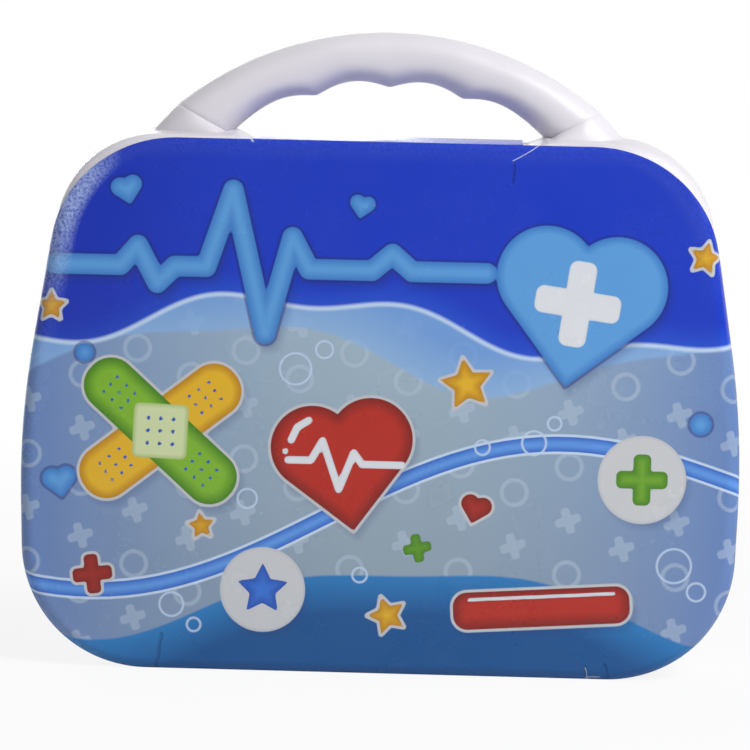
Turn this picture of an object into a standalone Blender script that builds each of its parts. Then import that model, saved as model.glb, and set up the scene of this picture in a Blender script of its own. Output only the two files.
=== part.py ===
"""Toy doctor case: a two-shell carrying case with a printed card front and a tray of play instruments.

The case stands on its flat bottom. X runs to the right, Z up, and the printed front faces -Y.
The parting plane of the two shells is y = 0, and the lid opens about the hinge line at the bottom.
All lengths are in metres.
"""

import math

import bmesh
import bpy
from mathutils import Matrix, Vector

# Gaps and cuts
CLEARANCE = 0.0003
OVERRUN = 0.002

# Case body, as an outline in x and z
BODY_HEIGHT = 0.190
BASE_HALF_WIDTH = 0.1245
WAIST_HALF_WIDTH = 0.1272
WAIST_HEIGHT = 0.089
TOP_HALF_WIDTH = 0.111
BASE_CORNER_RADIUS = 0.045
WAIST_BEND_SHARE = 0.32
TOP_CORNER_RADIUS = 0.045
CORNER_STEPS = 7
WAIST_STEPS = 3

# Shells, from the parting plane to the outer faces
FRONT_DEPTH = 0.027
BACK_DEPTH = 0.0278
BORDER_RADIUS = 0.004
BORDER_STEPS = 4
SIDE_DRAFT = 0.0010
WALL = 0.0022
LIP_HEIGHT = 0.0015
LIP_THICKNESS = 0.0012
LIP_ROOT = 0.0030
PANEL_INSET = 0.018
PANEL_DEPTH = 0.0006

# Hinge along the bottom edge, in a channel that keeps the base flat
HINGE_HEIGHT = 0.0027
CHANNEL_HALF_DEPTH = 0.012
KNUCKLE_RADIUS = 0.0024
KNUCKLE_LENGTH = 0.008
KNUCKLE_GAP = 0.0004
HINGE_PLACE = 0.052
PIN_RADIUS = 0.0010

# Printed card
CARD_THICKNESS = 0.0005
CARD_FLOOR_GAP = 0.00035
TOP_FLAP_HALF_WIDTH = 0.0475
FLAP_CORNER_GAP = 0.0028
SLIT_WIDTH = 0.0010
SIDE_WRAP_SHARE = 0.9
TOP_WRAP_SHARE = 0.35

# Arch handle, drawn about one centre below it
HANDLE_CENTRE_DROP = 0.0831
HANDLE_OUTER_RADIUS = 0.1183
HANDLE_INNER_RADIUS = 0.0990
HANDLE_WALL = 0.0020
SCALLOP_DEPTH = 0.0028
SCALLOP_PITCH = math.radians(15.2)
SCALLOPS_PER_SIDE = 2
SCALLOP_STEPS = 5
CREASE_ANGLE = math.radians(39.2)
GRIP_HALF_DEPTH = 0.0110
CREASE_HALF_DEPTH = 0.0130
FOOT_INNER_PLACE = 0.0515
FOOT_OUTER_PLACE = 0.0862
FOOT_INNER_HALF_DEPTH = 0.0185
FOOT_OUTER_HALF_DEPTH = 0.0120
FOOT_INNER_SINK = 0.0021
FOOT_OUTER_SINK = 0.0019
FOOT_SQUARENESS_SHARE = 0.4
FOOT_STEPS = 3
SECTION_STEPS = 8
PEG_ANGLE = math.radians(14.0)
PEG_RADIUS = 0.0018
PEG_REACH = 0.0040
SOCKET_WALL = 0.0014

# Play instruments, lying in the tray
ROUND_STEPS = 18
SMALL_STEPS = 12
BULGE_STEPS = 4

HAMMER_SIDE_ROOM = 0.0357
HAMMER_HEAD_Z = 0.148
HAMMER_HEAD_LENGTH = 0.048
HAMMER_HEAD_RADIUS = 0.0115
HAMMER_BOSS_RADIUS = 0.0070
HAMMER_BOSS_REACH = 0.0140
HAMMER_HANDLE_LENGTH = 0.086
HAMMER_HANDLE_RADIUS = 0.0062
HAMMER_SPIGOT_RADIUS = 0.0040
HAMMER_SPIGOT_LENGTH = 0.008
HAMMER_GRIP_RIDGES = 5
HAMMER_HEAD_SHARES = ((1, 0.80), (0.95, 1), (0.72, 1), (0.62, 0.86), (0.52, 0.70), (0.26, 0.70), (0.20, 0.86))
HAMMER_WAIST_SHARE = 0.4
HAMMER_WAIST_RADIUS = 0.0045
HAMMER_GRIP_START_SHARE = 0.44
HAMMER_RIDGED_SHARE = 0.93
HAMMER_RIDGE_SHARES = ((0, 0.84), (0.3, 1), (0.7, 1))
HAMMER_END_RADIUS_SHARE = 0.7

SYRINGE_Z = 0.027
SYRINGE_FRONT_X = -0.085
BARREL_LENGTH = 0.058
BARREL_RADIUS = 0.0110
BARREL_WALL = 0.0018
BARREL_COLLAR_SHARES = ((0, 0), (0.04, 1), (0.12, 1), (0.14, 0), (1, 0))
FLANGE_HALF_HEIGHT = 0.0180
FLANGE_THICKNESS = 0.0030
NOZZLE_LENGTH = 0.022
NOZZLE_TIP_RADIUS = 0.0034
NOZZLE_BORE_RADIUS = 0.0016
NOZZLE_STEP_SHARES = ((0, 1), (0.30, 0.97), (0.34, 0.72), (0.60, 0.66), (0.64, 0.44), (1, 0))
PLUNGER_TRAVEL = 0.028
ROD_RADIUS = 0.0042
ROD_FOOT_RADIUS = 0.0063
ROD_TAPER_LENGTH = 0.0038
RING_RADIUS = 0.0085
RING_BAR_RADIUS = 0.0024
RING_BAR_STEPS = 8
SEAL_THICKNESS = 0.0050
SEAL_SHARES = ((0, 0.6), (0.2, 1), (0.4, 0.88), (0.6, 0.88), (0.8, 1), (1, 0.9))

THERMOMETER_X = 0.068
THERMOMETER_Z = 0.026
THERMOMETER_LENGTH = 0.072
THERMOMETER_THICKNESS = 0.0120
DIAL_HEAD_RADIUS = 0.0130
TAIL_RADIUS = 0.0065
FULL_ROUND_SHARE = 0.99
NECK_ROUND_SHARE = 0.6
TAIL_ROUND_SHARE = 0.9
DIAL_RADIUS = 0.0098
DIAL_THICKNESS = 0.0012
DIAL_RECESS = 0.0030
POINTER_LENGTH = 0.0080
POINTER_HUB_RADIUS = 0.0024
POINTER_TIP_HALF_WIDTH = 0.00095
POINTER_THICKNESS = 0.0009
DIAL_POST_RADIUS = 0.0010
GRIP_PAD_LENGTH = 0.026
GRIP_PAD_HALF_WIDTH = 0.0046
GRIP_PAD_RISE = 0.0012

CAPSULE_Z = 0.054
CAPSULE_SIDE_ROOM = 0.0341
CAPSULE_PITCH = 0.048
CAPSULE_LENGTH = 0.044
CAPSULE_RADIUS = 0.0100
CAPSULE_WALL = 0.0016
CAPSULE_NECK_LENGTH = 0.0050
DOME_TIP_SHARE = 0.25

HEADSET_X = -0.005
PIVOT_Z = 0.092
PIVOT_SPREAD = 0.0085
EAR_TUBE_RADIUS = 0.0030
EAR_TUBE_SPAN = 0.0230
EAR_TUBE_LENGTH = 0.0740
EAR_TUBE_SPAN_SHARES = (0.00, 0.28, 0.62, 0.90, 1.00, 0.92, 0.66, 0.38)
EAR_TUBE_LENGTH_SHARES = (0.11, 0.21, 0.36, 0.54, 0.70, 0.85, 0.96, 1.00)
EAR_TIP_LENGTH = 0.0110
EAR_TIP_RADIUS = 0.0055
EAR_TIP_SHARES = ((0, 0.62), (0.15, 0.80), (0.40, 1), (0.65, 0.98), (0.85, 0.75), (1, 0.35))
EYE_RADIUS = 0.0042
EYE_THICKNESS = 0.0040
YOKE_HALF_THICKNESS = 0.0053
YOKE_HALF_WIDTH = 0.0150
YOKE_RISE = 0.0050
YOKE_DROP = 0.0150
YOKE_STEM_HALF_WIDTH = 0.0048
PIVOT_PIN_RADIUS = 0.0013

CHEST_X = 0.078
CHEST_Z = 0.112
CHEST_RADIUS = 0.0180
CHEST_THICKNESS = 0.0110
CHEST_SHARES = ((1, 0.45), (0.75, 0.72), (0, 0.86), (-0.35, 1), (-0.85, 1), (-1, 0.95))
STEM_RADIUS = 0.0038
STEM_REACH = 0.0270
DIAPHRAGM_RADIUS = 0.0140
DIAPHRAGM_RIM_RADIUS = 0.0134
DIAPHRAGM_THICKNESS = 0.0016
HOSE_RADIUS = 0.0026
HOSE_LOW_Z = 0.069
HOSE_TOP_Z = 0.157
HOSE_RISE_X = 0.051

# Formed tray
TRAY_SHEET = 0.0010
TRAY_FIT = 0.0006
POCKET_FIT = 0.0010
TRAY_RIM_ABOVE_AXIS = 0.0020
POCKET_CORNER_RADIUS = 0.0040
POCKET_CORNER_STEPS = 3
POCKET_DRAFT = 0.0012
EAR_SWING = math.radians(6.0)


def side_half_width(height):
    """Half of the case's width at one height, on its straight sides above or below the waist."""
    if height < WAIST_HEIGHT:
        return BASE_HALF_WIDTH + (WAIST_HALF_WIDTH - BASE_HALF_WIDTH) * height / WAIST_HEIGHT
    share = (height - WAIST_HEIGHT) / (BODY_HEIGHT - WAIST_HEIGHT)
    return WAIST_HALF_WIDTH + (TOP_HALF_WIDTH - WAIST_HALF_WIDTH) * share


# Places that follow from the sizes above
INNER_BACK = BACK_DEPTH - WALL
TOY_AXIS_Y = INNER_BACK - 2 * CLEARANCE - TRAY_SHEET - HAMMER_HEAD_RADIUS
TRAY_FACE_Y = TOY_AXIS_Y - TRAY_RIM_ABOVE_AXIS
GRIP_ANGLE = SCALLOP_PITCH * SCALLOPS_PER_SIDE
HANDLE_CENTRE_HEIGHT = BODY_HEIGHT - HANDLE_CENTRE_DROP
BASE_CORNER_TURN = math.atan2(WAIST_HEIGHT, WAIST_HALF_WIDTH - BASE_HALF_WIDTH)
WAIST_TURN = math.atan2(BODY_HEIGHT - WAIST_HEIGHT, TOP_HALF_WIDTH - WAIST_HALF_WIDTH) - BASE_CORNER_TURN
TOP_CORNER_TURN = math.pi - BASE_CORNER_TURN - WAIST_TURN
LOWER_SIDE_LENGTH = math.hypot(WAIST_HEIGHT, WAIST_HALF_WIDTH - BASE_HALF_WIDTH)
WAIST_RADIUS = WAIST_BEND_SHARE * LOWER_SIDE_LENGTH / math.tan(WAIST_TURN / 2)
BASE_FLAP_HALF_WIDTH = BASE_HALF_WIDTH - BASE_CORNER_RADIUS * math.tan(BASE_CORNER_TURN / 2) - FLAP_CORNER_GAP
TOP_FLAT_HALF_WIDTH = TOP_HALF_WIDTH - TOP_CORNER_RADIUS * math.tan(TOP_CORNER_TURN / 2)
CARD_RECESS = CARD_THICKNESS + CARD_FLOOR_GAP + CLEARANCE
HALF_GAP = CLEARANCE / 2
FLANGE_X = SYRINGE_FRONT_X + BARREL_LENGTH
HAMMER_X = HAMMER_SIDE_ROOM - side_half_width(HAMMER_HEAD_Z)
OUTER_CAPSULE_X = side_half_width(CAPSULE_Z) - CAPSULE_SIDE_ROOM
INNER_CAPSULE_X = OUTER_CAPSULE_X - CAPSULE_PITCH


def clear_scene():
    """Remove what the file holds, so that the model starts from nothing."""
    for old in list(bpy.data.objects):
        bpy.data.objects.remove(old, do_unlink=True)


def plastic(name, colour, roughness):
    """A moulded plastic, card or rubber surface."""
    material = bpy.data.materials.new(name)
    material.use_nodes = True
    shader = material.node_tree.nodes["Principled BSDF"]
    shader.inputs["Base Color"].default_value = (*colour, 1)
    shader.inputs["Roughness"].default_value = roughness
    shader.inputs["Metallic"].default_value = 0
    return material


def add_object(name, mesh, material):
    """Put a mesh into the scene as one sub-part."""
    piece = bpy.data.objects.new(name, mesh)
    bpy.context.scene.collection.objects.link(piece)
    if material:
        mesh.materials.append(material)
    return piece


def add_cutter(name, mesh):
    """Put a mesh into the scene as a tool of a Boolean, which isn't part of the product."""
    tool = add_object(name, mesh, None)
    tool.hide_render = True
    tool.display_type = "WIRE"
    return tool


def combine(piece, tool, operation):
    """Join a tool to a piece, or cut it out of the piece."""
    modifier = piece.modifiers.new(tool.name, "BOOLEAN")
    modifier.object = tool
    modifier.operation = operation
    modifier.solver = "EXACT"


def smooth(mesh, angle=math.radians(35)):
    """Shade a mesh smooth and keep its hard edges sharp."""
    mesh.shade_smooth()
    mesh.set_sharp_from_angle(angle=angle)


def loft(name, rings, closed=False):
    """One closed body through rings of points that match one to one."""
    count = len(rings[0])
    points = [point for ring in rings for point in ring]
    faces = []
    for level in range(len(rings) if closed else len(rings) - 1):
        low = level * count
        high = (level + 1) % len(rings) * count
        for index in range(count):
            after = (index + 1) % count
            faces.append((low + index, low + after, high + after, high + index))
    if not closed:
        last = len(points) - count
        faces.append(tuple(reversed(range(count))))
        faces.append(tuple(range(last, last + count)))
    mesh = bpy.data.meshes.new(name)
    mesh.from_pydata(points, [], faces)
    turn_faces_out(mesh)
    smooth(mesh)
    return mesh


def turn_faces_out(mesh):
    """Point the faces of a closed mesh outward."""
    work = bmesh.new()
    work.from_mesh(mesh)
    bmesh.ops.recalc_face_normals(work, faces=work.faces)
    work.to_mesh(mesh)
    work.free()


def box(name, low, high):
    """A rectangular block between two corners."""
    rings = []
    for z in (low[2], high[2]):
        rings.append([(low[0], low[1], z), (high[0], low[1], z), (high[0], high[1], z), (low[0], high[1], z)])
    return loft(name, rings)


def rounded_outline(corners, inset=0.0):
    """Points of a counter-clockwise outline, moved in by inset, with its corners rounded.

    Each corner is (across, up, radius, steps). No steps leaves the corner as one point.
    """
    points = []
    for index, (across, up, radius, steps) in enumerate(corners):
        here = Vector((across, up))
        before = Vector(corners[index - 1][:2])
        after = Vector(corners[(index + 1) % len(corners)][:2])
        first = (here - before).normalized()
        second = (after - here).normalized()
        first_inward = Vector((-first.y, first.x))
        second_inward = Vector((-second.y, second.x))
        mitre = (first_inward + second_inward) / (1 + first_inward.dot(second_inward))
        if steps == 0:
            points.append(here + mitre * inset)
            continue
        centre = here + mitre * radius
        start = math.atan2(first_inward.y, first_inward.x)
        turn = math.atan2(first.x * second.y - first.y * second.x, first.dot(second))
        for step in range(steps + 1):
            angle = start + turn * step / steps
            points.append(centre - (radius - inset) * Vector((math.cos(angle), math.sin(angle))))
    return points


def turned_rings(profile, steps):
    """Rings about the Z axis through the (along, radius) points of a profile."""
    rings = []
    for along, radius in profile:
        ring = []
        for step in range(steps):
            angle = math.tau * step / steps
            ring.append((radius * math.cos(angle), radius * math.sin(angle), along))
        rings.append(ring)
    return rings


def turned(name, profile, steps=ROUND_STEPS, closed=False):
    """A round body turned from a profile. A closed profile makes a sleeve."""
    return loft(name, turned_rings(profile, steps), closed)


def rod(name, radius, start, end, steps=SMALL_STEPS):
    """A plain round bar along Z."""
    return turned(name, [(start, radius), (end, radius)], steps)


def place(piece, at, along=(0, 0, 1)):
    """Move a piece to its place and turn its Z axis to a direction."""
    piece.location = at
    piece.rotation_mode = "QUATERNION"
    piece.rotation_quaternion = Vector((0, 0, 1)).rotation_difference(Vector(along))
    return piece


def body_corners():
    """The case's outline from the front: a rounded trapezoid with a slight waist, and the flaps' ends."""
    right = [
        (BASE_FLAP_HALF_WIDTH, 0, 0, 0),
        (BASE_HALF_WIDTH, 0, BASE_CORNER_RADIUS, CORNER_STEPS),
        (WAIST_HALF_WIDTH, WAIST_HEIGHT, WAIST_RADIUS, WAIST_STEPS),
        (TOP_HALF_WIDTH, BODY_HEIGHT, TOP_CORNER_RADIUS, CORNER_STEPS),
        (TOP_FLAP_HALF_WIDTH, BODY_HEIGHT, 0, 0),
    ]
    left = [(-across, up, radius, steps) for across, up, radius, steps in reversed(right)]
    return right + left


def body_ring(inset, y, drop=0.0):
    """The case's outline moved in by inset, at one depth, and lowered by drop so that the base stays flat."""
    return [(point.x, y, point.y - drop) for point in rounded_outline(body_corners(), inset)]


def shell_form(name, side, depth, wall, start):
    """The outer form of a shell, or its hollow if a wall is given, from the parting plane to its face."""
    radius = BORDER_RADIUS - wall
    knee = depth - BORDER_RADIUS
    rings = [body_ring(wall, side * start), body_ring(wall + SIDE_DRAFT, side * knee, SIDE_DRAFT)]
    for step in range(1, BORDER_STEPS + 1):
        angle = math.pi / 2 * step / BORDER_STEPS
        inset = wall + SIDE_DRAFT + radius * (1 - math.cos(angle))
        rings.append(body_ring(inset, side * (knee + radius * math.sin(angle)), SIDE_DRAFT))
    return loft(name, rings)


def handle_ends(share, inset):
    """The inner and outer edge points (x, z) of the grip, at a share of the way from top to crease."""
    inner_angle = GRIP_ANGLE * share
    outer_angle = CREASE_ANGLE * share
    scallop = SCALLOP_DEPTH * abs(math.sin(math.pi * inner_angle / SCALLOP_PITCH))
    inner_radius = HANDLE_INNER_RADIUS + scallop + inset
    outer_radius = HANDLE_OUTER_RADIUS - inset
    inner = Vector((math.sin(inner_angle), math.cos(inner_angle))) * inner_radius
    outer = Vector((math.sin(outer_angle), math.cos(outer_angle))) * outer_radius
    lift = Vector((0, HANDLE_CENTRE_HEIGHT))
    return inner + lift, outer + lift


def grip_section(side, share, inset=0.0):
    """Half of the grip's oval section, from its outer edge round to its inner edge."""
    inner, outer = handle_ends(share, inset)
    depth = GRIP_HALF_DEPTH + (CREASE_HALF_DEPTH - GRIP_HALF_DEPTH) * share * share - inset
    points = []
    for step in range(SECTION_STEPS + 1):
        angle = math.pi * step / SECTION_STEPS
        middle = (outer + inner) / 2 + (outer - inner) / 2 * math.cos(angle)
        points.append(Vector((middle.x, side * (HALF_GAP + depth * math.sin(angle)), middle.y)))
    return points


def shoulder_height(across):
    """The height of the case's top edge at one place, along its flat middle and its rounded corner."""
    beyond = max(0, across - TOP_FLAT_HALF_WIDTH)
    return BODY_HEIGHT - TOP_CORNER_RADIUS + math.sqrt(TOP_CORNER_RADIUS ** 2 - beyond ** 2)


def foot_base(side, end):
    """The foot's footprint in the shoulder: flat-faced, and deeper towards the finger gap."""
    inner = Vector((end * FOOT_INNER_PLACE, shoulder_height(FOOT_INNER_PLACE) - FOOT_INNER_SINK))
    outer = Vector((end * FOOT_OUTER_PLACE, shoulder_height(FOOT_OUTER_PLACE) - FOOT_OUTER_SINK))
    points = []
    for step in range(SECTION_STEPS + 1):
        angle = math.pi * step / SECTION_STEPS
        inner_share = (1 - math.cos(angle)) / 2
        depth = FOOT_OUTER_HALF_DEPTH + (FOOT_INNER_HALF_DEPTH - FOOT_OUTER_HALF_DEPTH) * inner_share
        reach = depth * abs(math.sin(angle)) ** FOOT_SQUARENESS_SHARE if step % SECTION_STEPS else 0
        middle = outer + (inner - outer) * inner_share
        points.append(Vector((middle.x, side * (HALF_GAP + reach), middle.y)))
    return points


def foot_sections(side, end):
    """Sections from the crease down to the shoulder, flaring towards the shoulder."""
    crease = grip_section(side, end)
    base = foot_base(side, end)
    sections = []
    for step in range(1, FOOT_STEPS + 1):
        down = step / FOOT_STEPS
        spread = down * (1 + down) / 2
        section = []
        for high, low in zip(crease, base):
            section.append((
                high.x + (low.x - high.x) * down,
                high.y + (low.y - high.y) * spread,
                high.z + (low.z - high.z) * down,
            ))
        sections.append(section)
    return sections


def handle_form(name, side):
    """The outer form of one half of the handle, with four finger scallops and its two feet."""
    steps = SCALLOP_STEPS * SCALLOPS_PER_SIDE
    grip = [grip_section(side, step / steps) for step in range(-steps, steps + 1)]
    rings = list(reversed(foot_sections(side, -1))) + grip + foot_sections(side, 1)
    return loft(name, rings)


def handle_hollow(name, side):
    """The hollow of one half of the handle, open at the parting plane."""
    steps = SCALLOP_STEPS * SCALLOPS_PER_SIDE
    rings = []
    for step in range(1 - steps, steps):
        section = grip_section(side, step / steps, HANDLE_WALL)
        first, last = section[0], section[-1]
        opening = [Vector((last.x, -side * OVERRUN, last.z)), Vector((first.x, -side * OVERRUN, first.z))]
        rings.append(section + opening)
    return loft(name, rings)


def peg_centre(end):
    """The place of a handle peg, midway between the handle's edges."""
    radius = (HANDLE_INNER_RADIUS + HANDLE_OUTER_RADIUS + SCALLOP_DEPTH) / 2
    angle = end * PEG_ANGLE
    return radius * math.sin(angle), HANDLE_CENTRE_HEIGHT + radius * math.cos(angle)


def add_snap_pegs(front, rear):
    """Pegs inside the front half of the handle that snap into sockets in the rear half."""
    seat = GRIP_HALF_DEPTH - HANDLE_WALL / 2
    for end, side_name in ((-1, "left"), (1, "right")):
        x, z = peg_centre(end)
        peg = add_cutter(f"peg_{side_name}", rod(f"peg_{side_name}", PEG_RADIUS, -seat, PEG_REACH))
        bore_radius = PEG_RADIUS + CLEARANCE
        socket_radius = bore_radius + SOCKET_WALL
        boss = add_cutter(f"socket_{side_name}", rod(f"socket_{side_name}", socket_radius, HALF_GAP, seat))
        bore_end = PEG_REACH + CLEARANCE
        bore = add_cutter(f"bore_{side_name}", rod(f"bore_{side_name}", bore_radius, -OVERRUN, bore_end))
        for tool in (peg, boss, bore):
            place(tool, (x, 0, z), (0, 1, 0))
        combine(front, peg, "UNION")
        combine(rear, boss, "UNION")
        combine(rear, bore, "DIFFERENCE")


def add_knuckles(front, rear):
    """Hinge knuckles: two on the rear shell and one on the front shell at each hinge."""
    pitch = KNUCKLE_LENGTH + KNUCKLE_GAP
    for end in (-1, 1):
        for place_in_row, owner, other in ((-1, rear, front), (0, front, rear), (1, rear, front)):
            centre = end * HINGE_PLACE + place_in_row * pitch
            add_knuckle(f"knuckle_{end}_{place_in_row}", centre, owner, other)


def add_knuckle(name, centre, owner, other):
    """One knuckle on its own shell, the notch for it in the other shell, and its bore."""
    half = KNUCKLE_LENGTH / 2
    reach = KNUCKLE_RADIUS + KNUCKLE_GAP
    low = (centre - half - KNUCKLE_GAP, -reach, -OVERRUN)
    high = (centre + half + KNUCKLE_GAP, reach, HINGE_HEIGHT + reach + OVERRUN)
    notch = add_cutter(name + "_notch", box(name + "_notch", low, high))
    barrel = add_cutter(name, rod(name, KNUCKLE_RADIUS, -half, half, ROUND_STEPS))
    bore_end = half + KNUCKLE_GAP
    bore = add_cutter(name + "_bore", rod(name + "_bore", PIN_RADIUS + CLEARANCE, -bore_end, bore_end))
    for tool in (barrel, bore):
        place(tool, (centre, 0, HINGE_HEIGHT), (1, 0, 0))
    combine(other, notch, "DIFFERENCE")
    combine(owner, barrel, "UNION")
    combine(owner, bore, "DIFFERENCE")


def add_hinge_pins(material):
    """One plain pin through the three knuckles of each hinge."""
    half = (3 * KNUCKLE_LENGTH + 2 * KNUCKLE_GAP) / 2
    for end, side_name in ((-1, "left"), (1, "right")):
        name = f"hinge_pin_{side_name}"
        pin = add_object(name, rod(name, PIN_RADIUS, -half, half), material)
        place(pin, (end * HINGE_PLACE, 0, HINGE_HEIGHT), (1, 0, 0))


def channel_box(name, extra):
    """The hinge channel across the base, or with extra the step that stands over it inside."""
    reach = BASE_HALF_WIDTH + OVERRUN
    depth = CHANNEL_HALF_DEPTH + extra
    return box(name, (-reach, -depth, -OVERRUN), (reach, depth, HINGE_HEIGHT + extra))


def half_shell(name, side, depth, material):
    """One shell: body and half handle in one piece, hollow behind, with the hinge channel in its base."""
    shell = add_object(name, shell_form(name, side, depth, 0, HALF_GAP), material)
    handle = add_cutter(f"{name}_handle", handle_form(f"{name}_handle", side))
    hollow = add_cutter(f"{name}_hollow", shell_form(f"{name}_hollow", side, depth, WALL, -OVERRUN))
    grip_hollow = add_cutter(f"{name}_grip_hollow", handle_hollow(f"{name}_grip_hollow", side))
    step = add_cutter(f"{name}_step", channel_box(f"{name}_step", WALL))
    channel = add_cutter(f"{name}_channel", channel_box(f"{name}_channel", 0))
    combine(hollow, step, "DIFFERENCE")
    combine(shell, handle, "UNION")
    combine(shell, hollow, "DIFFERENCE")
    combine(shell, grip_hollow, "DIFFERENCE")
    combine(shell, channel, "DIFFERENCE")
    return shell


def add_lip(rear):
    """The rear shell's inner lip, which guides the front shell's rim at the sides and the top."""
    outer = WALL + CLEARANCE
    inner = outer + LIP_THICKNESS
    root = WALL / 2
    rings = [
        body_ring(outer, -LIP_HEIGHT),
        body_ring(outer, 2 * HALF_GAP),
        body_ring(root, 2 * HALF_GAP),
        body_ring(root, LIP_ROOT),
        body_ring(inner, LIP_ROOT + LIP_THICKNESS),
        body_ring(inner, -LIP_HEIGHT),
    ]
    lip = add_cutter("rim_lip", loft("rim_lip", rings, closed=True))
    reach = WAIST_HALF_WIDTH + OVERRUN
    clear_height = HINGE_HEIGHT + WALL + BORDER_RADIUS
    low = (-reach, -LIP_HEIGHT - OVERRUN, -OVERRUN)
    high = (reach, LIP_ROOT + LIP_THICKNESS + OVERRUN, clear_height)
    combine(lip, add_cutter("lip_end", box("lip_end", low, high)), "DIFFERENCE")
    combine(rear, lip, "UNION")


def add_back_panel(rear):
    """A shallow panel sunk into the back, as on the front shell's twin mould."""
    rings = [
        body_ring(PANEL_INSET, BACK_DEPTH + OVERRUN),
        body_ring(PANEL_INSET, BACK_DEPTH - PANEL_DEPTH),
    ]
    combine(rear, add_cutter("back_panel", loft("back_panel", rings)), "DIFFERENCE")


def add_card_recess(front):
    """The step in the front shell's base that takes the card's lower flap."""
    reach = BASE_FLAP_HALF_WIDTH + SLIT_WIDTH
    low = (-reach, -FRONT_DEPTH - OVERRUN, -OVERRUN)
    high = (reach, -CHANNEL_HALF_DEPTH + OVERRUN, CARD_RECESS)
    combine(front, add_cutter("card_recess", box("card_recess", low, high)), "DIFFERENCE")


def add_case(white, pin_material):
    """The two shells, their snap pegs, rim, hinge and pins."""
    front = half_shell("front_shell", -1, FRONT_DEPTH, white)
    rear = half_shell("rear_shell", 1, BACK_DEPTH, white)
    add_snap_pegs(front, rear)
    add_knuckles(front, rear)
    add_lip(rear)
    add_back_panel(rear)
    add_card_recess(front)
    add_hinge_pins(pin_material)


def wrap_share(height, base_share):
    """How far the card bends round the shell's border, as a share of a quarter turn, by height."""
    low = BASE_CORNER_RADIUS / 2
    high = BODY_HEIGHT - TOP_CORNER_RADIUS
    if height < low:
        return base_share + (SIDE_WRAP_SHARE - base_share) * height / low
    if height < high:
        return SIDE_WRAP_SHARE
    return SIDE_WRAP_SHARE + (TOP_WRAP_SHARE - SIDE_WRAP_SHARE) * (height - high) / (BODY_HEIGHT - high)


def card_rings():
    """Rings of the card's inner face, from the flat front round the border to its cut edge."""
    radius = BORDER_RADIUS + CLEARANCE
    lift = CARD_THICKNESS + CARD_FLOOR_GAP
    base_share = 1 - math.acos((BORDER_RADIUS - lift) / radius) / (math.pi / 2)
    knee = FRONT_DEPTH - BORDER_RADIUS
    outline = rounded_outline(body_corners())
    shares = [wrap_share(point.y, base_share) for point in outline]
    rings = []
    for step in range(BORDER_STEPS + 1):
        ring = []
        for index, share in enumerate(shares):
            angle = math.pi / 2 * (1 - share * step / BORDER_STEPS)
            inset = SIDE_DRAFT + BORDER_RADIUS - radius * math.cos(angle)
            point = rounded_outline_point(index, inset)
            ring.append((point.x, -(knee + radius * math.sin(angle)), point.y - SIDE_DRAFT))
        rings.append(ring)
    return rings


def rounded_outline_point(index, inset):
    """One point of the case's outline, moved in by inset."""
    return rounded_outline(body_corners(), inset)[index]


def add_card(material):
    """The printed card: its front, the bend round the border, and the flaps folded back above and below."""
    rings = card_rings()
    count = len(rings[0])
    points = [point for ring in rings for point in ring]
    faces = [tuple(range(count))]
    for level in range(len(rings) - 1):
        low = level * count
        for index in range(count):
            after = (index + 1) % count
            faces.append((low + index, low + count + index, low + count + after, low + after))
    edge = len(points) - count
    top_right = body_corner_index(TOP_FLAP_HALF_WIDTH, BODY_HEIGHT)
    base_left = body_corner_index(-BASE_FLAP_HALF_WIDTH, 0)
    base_route = [(-CHANNEL_HALF_DEPTH - SLIT_WIDTH, CARD_THICKNESS + CARD_FLOOR_GAP)]
    for corner, route in ((top_right, top_flap_route()), (base_left, base_route)):
        add_flap(points, faces, edge + corner, edge + (corner + 1) % count, route)
    mesh = bpy.data.meshes.new("front_card")
    mesh.from_pydata(points, [], faces)
    turn_card_out(mesh)
    smooth(mesh)
    card = add_object("front_card", mesh, material)
    skin = card.modifiers.new("thickness", "SOLIDIFY")
    skin.thickness = CARD_THICKNESS
    skin.offset = 1


def top_flap_route():
    """The (y, z) points of the upper flap, from the card's cut edge over the border to the parting plane."""
    radius = BORDER_RADIUS + CLEARANCE
    knee = FRONT_DEPTH - BORDER_RADIUS
    top = BODY_HEIGHT - 2 * SIDE_DRAFT
    route = []
    for step in range(1, BORDER_STEPS + 1):
        angle = math.pi / 2 * (1 - TOP_WRAP_SHARE) * (1 - step / BORDER_STEPS)
        route.append((-knee - radius * math.sin(angle), top - BORDER_RADIUS + radius * math.cos(angle)))
    return route + [(-OVERRUN, BODY_HEIGHT + CLEARANCE)]


def add_flap(points, faces, first, second, route):
    """A strip of card that runs back from one edge of the card along a route of (y, z) points."""
    for y, z in route:
        start = len(points)
        points += [(points[first][0], y, z), (points[second][0], y, z)]
        faces.append((first, start, start + 1, second))
        first, second = start, start + 1


def body_corner_index(across, up):
    """The place of one unrounded corner in the list of outline points."""
    target = Vector((across, up))
    distances = [(point - target).length for point in rounded_outline(body_corners())]
    return distances.index(min(distances))


def turn_card_out(mesh):
    """Point the open card's faces away from the shell."""
    turn_faces_out(mesh)
    if mesh.polygons[0].normal.y > 0:
        mesh.flip_normals()


def prism(name, corners, low, high, edge=0.0):
    """A flat piece of a rounded outline in x and z, between two depths in y, with softened edges."""
    rings = []
    levels = ((edge, low), (0, low + edge), (0, high - edge), (edge, high)) if edge else ((0, low), (0, high))
    for inset, y in levels:
        rings.append([(point.x, y, point.y) for point in rounded_outline(corners, inset)])
    return loft(name, rings)


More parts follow.
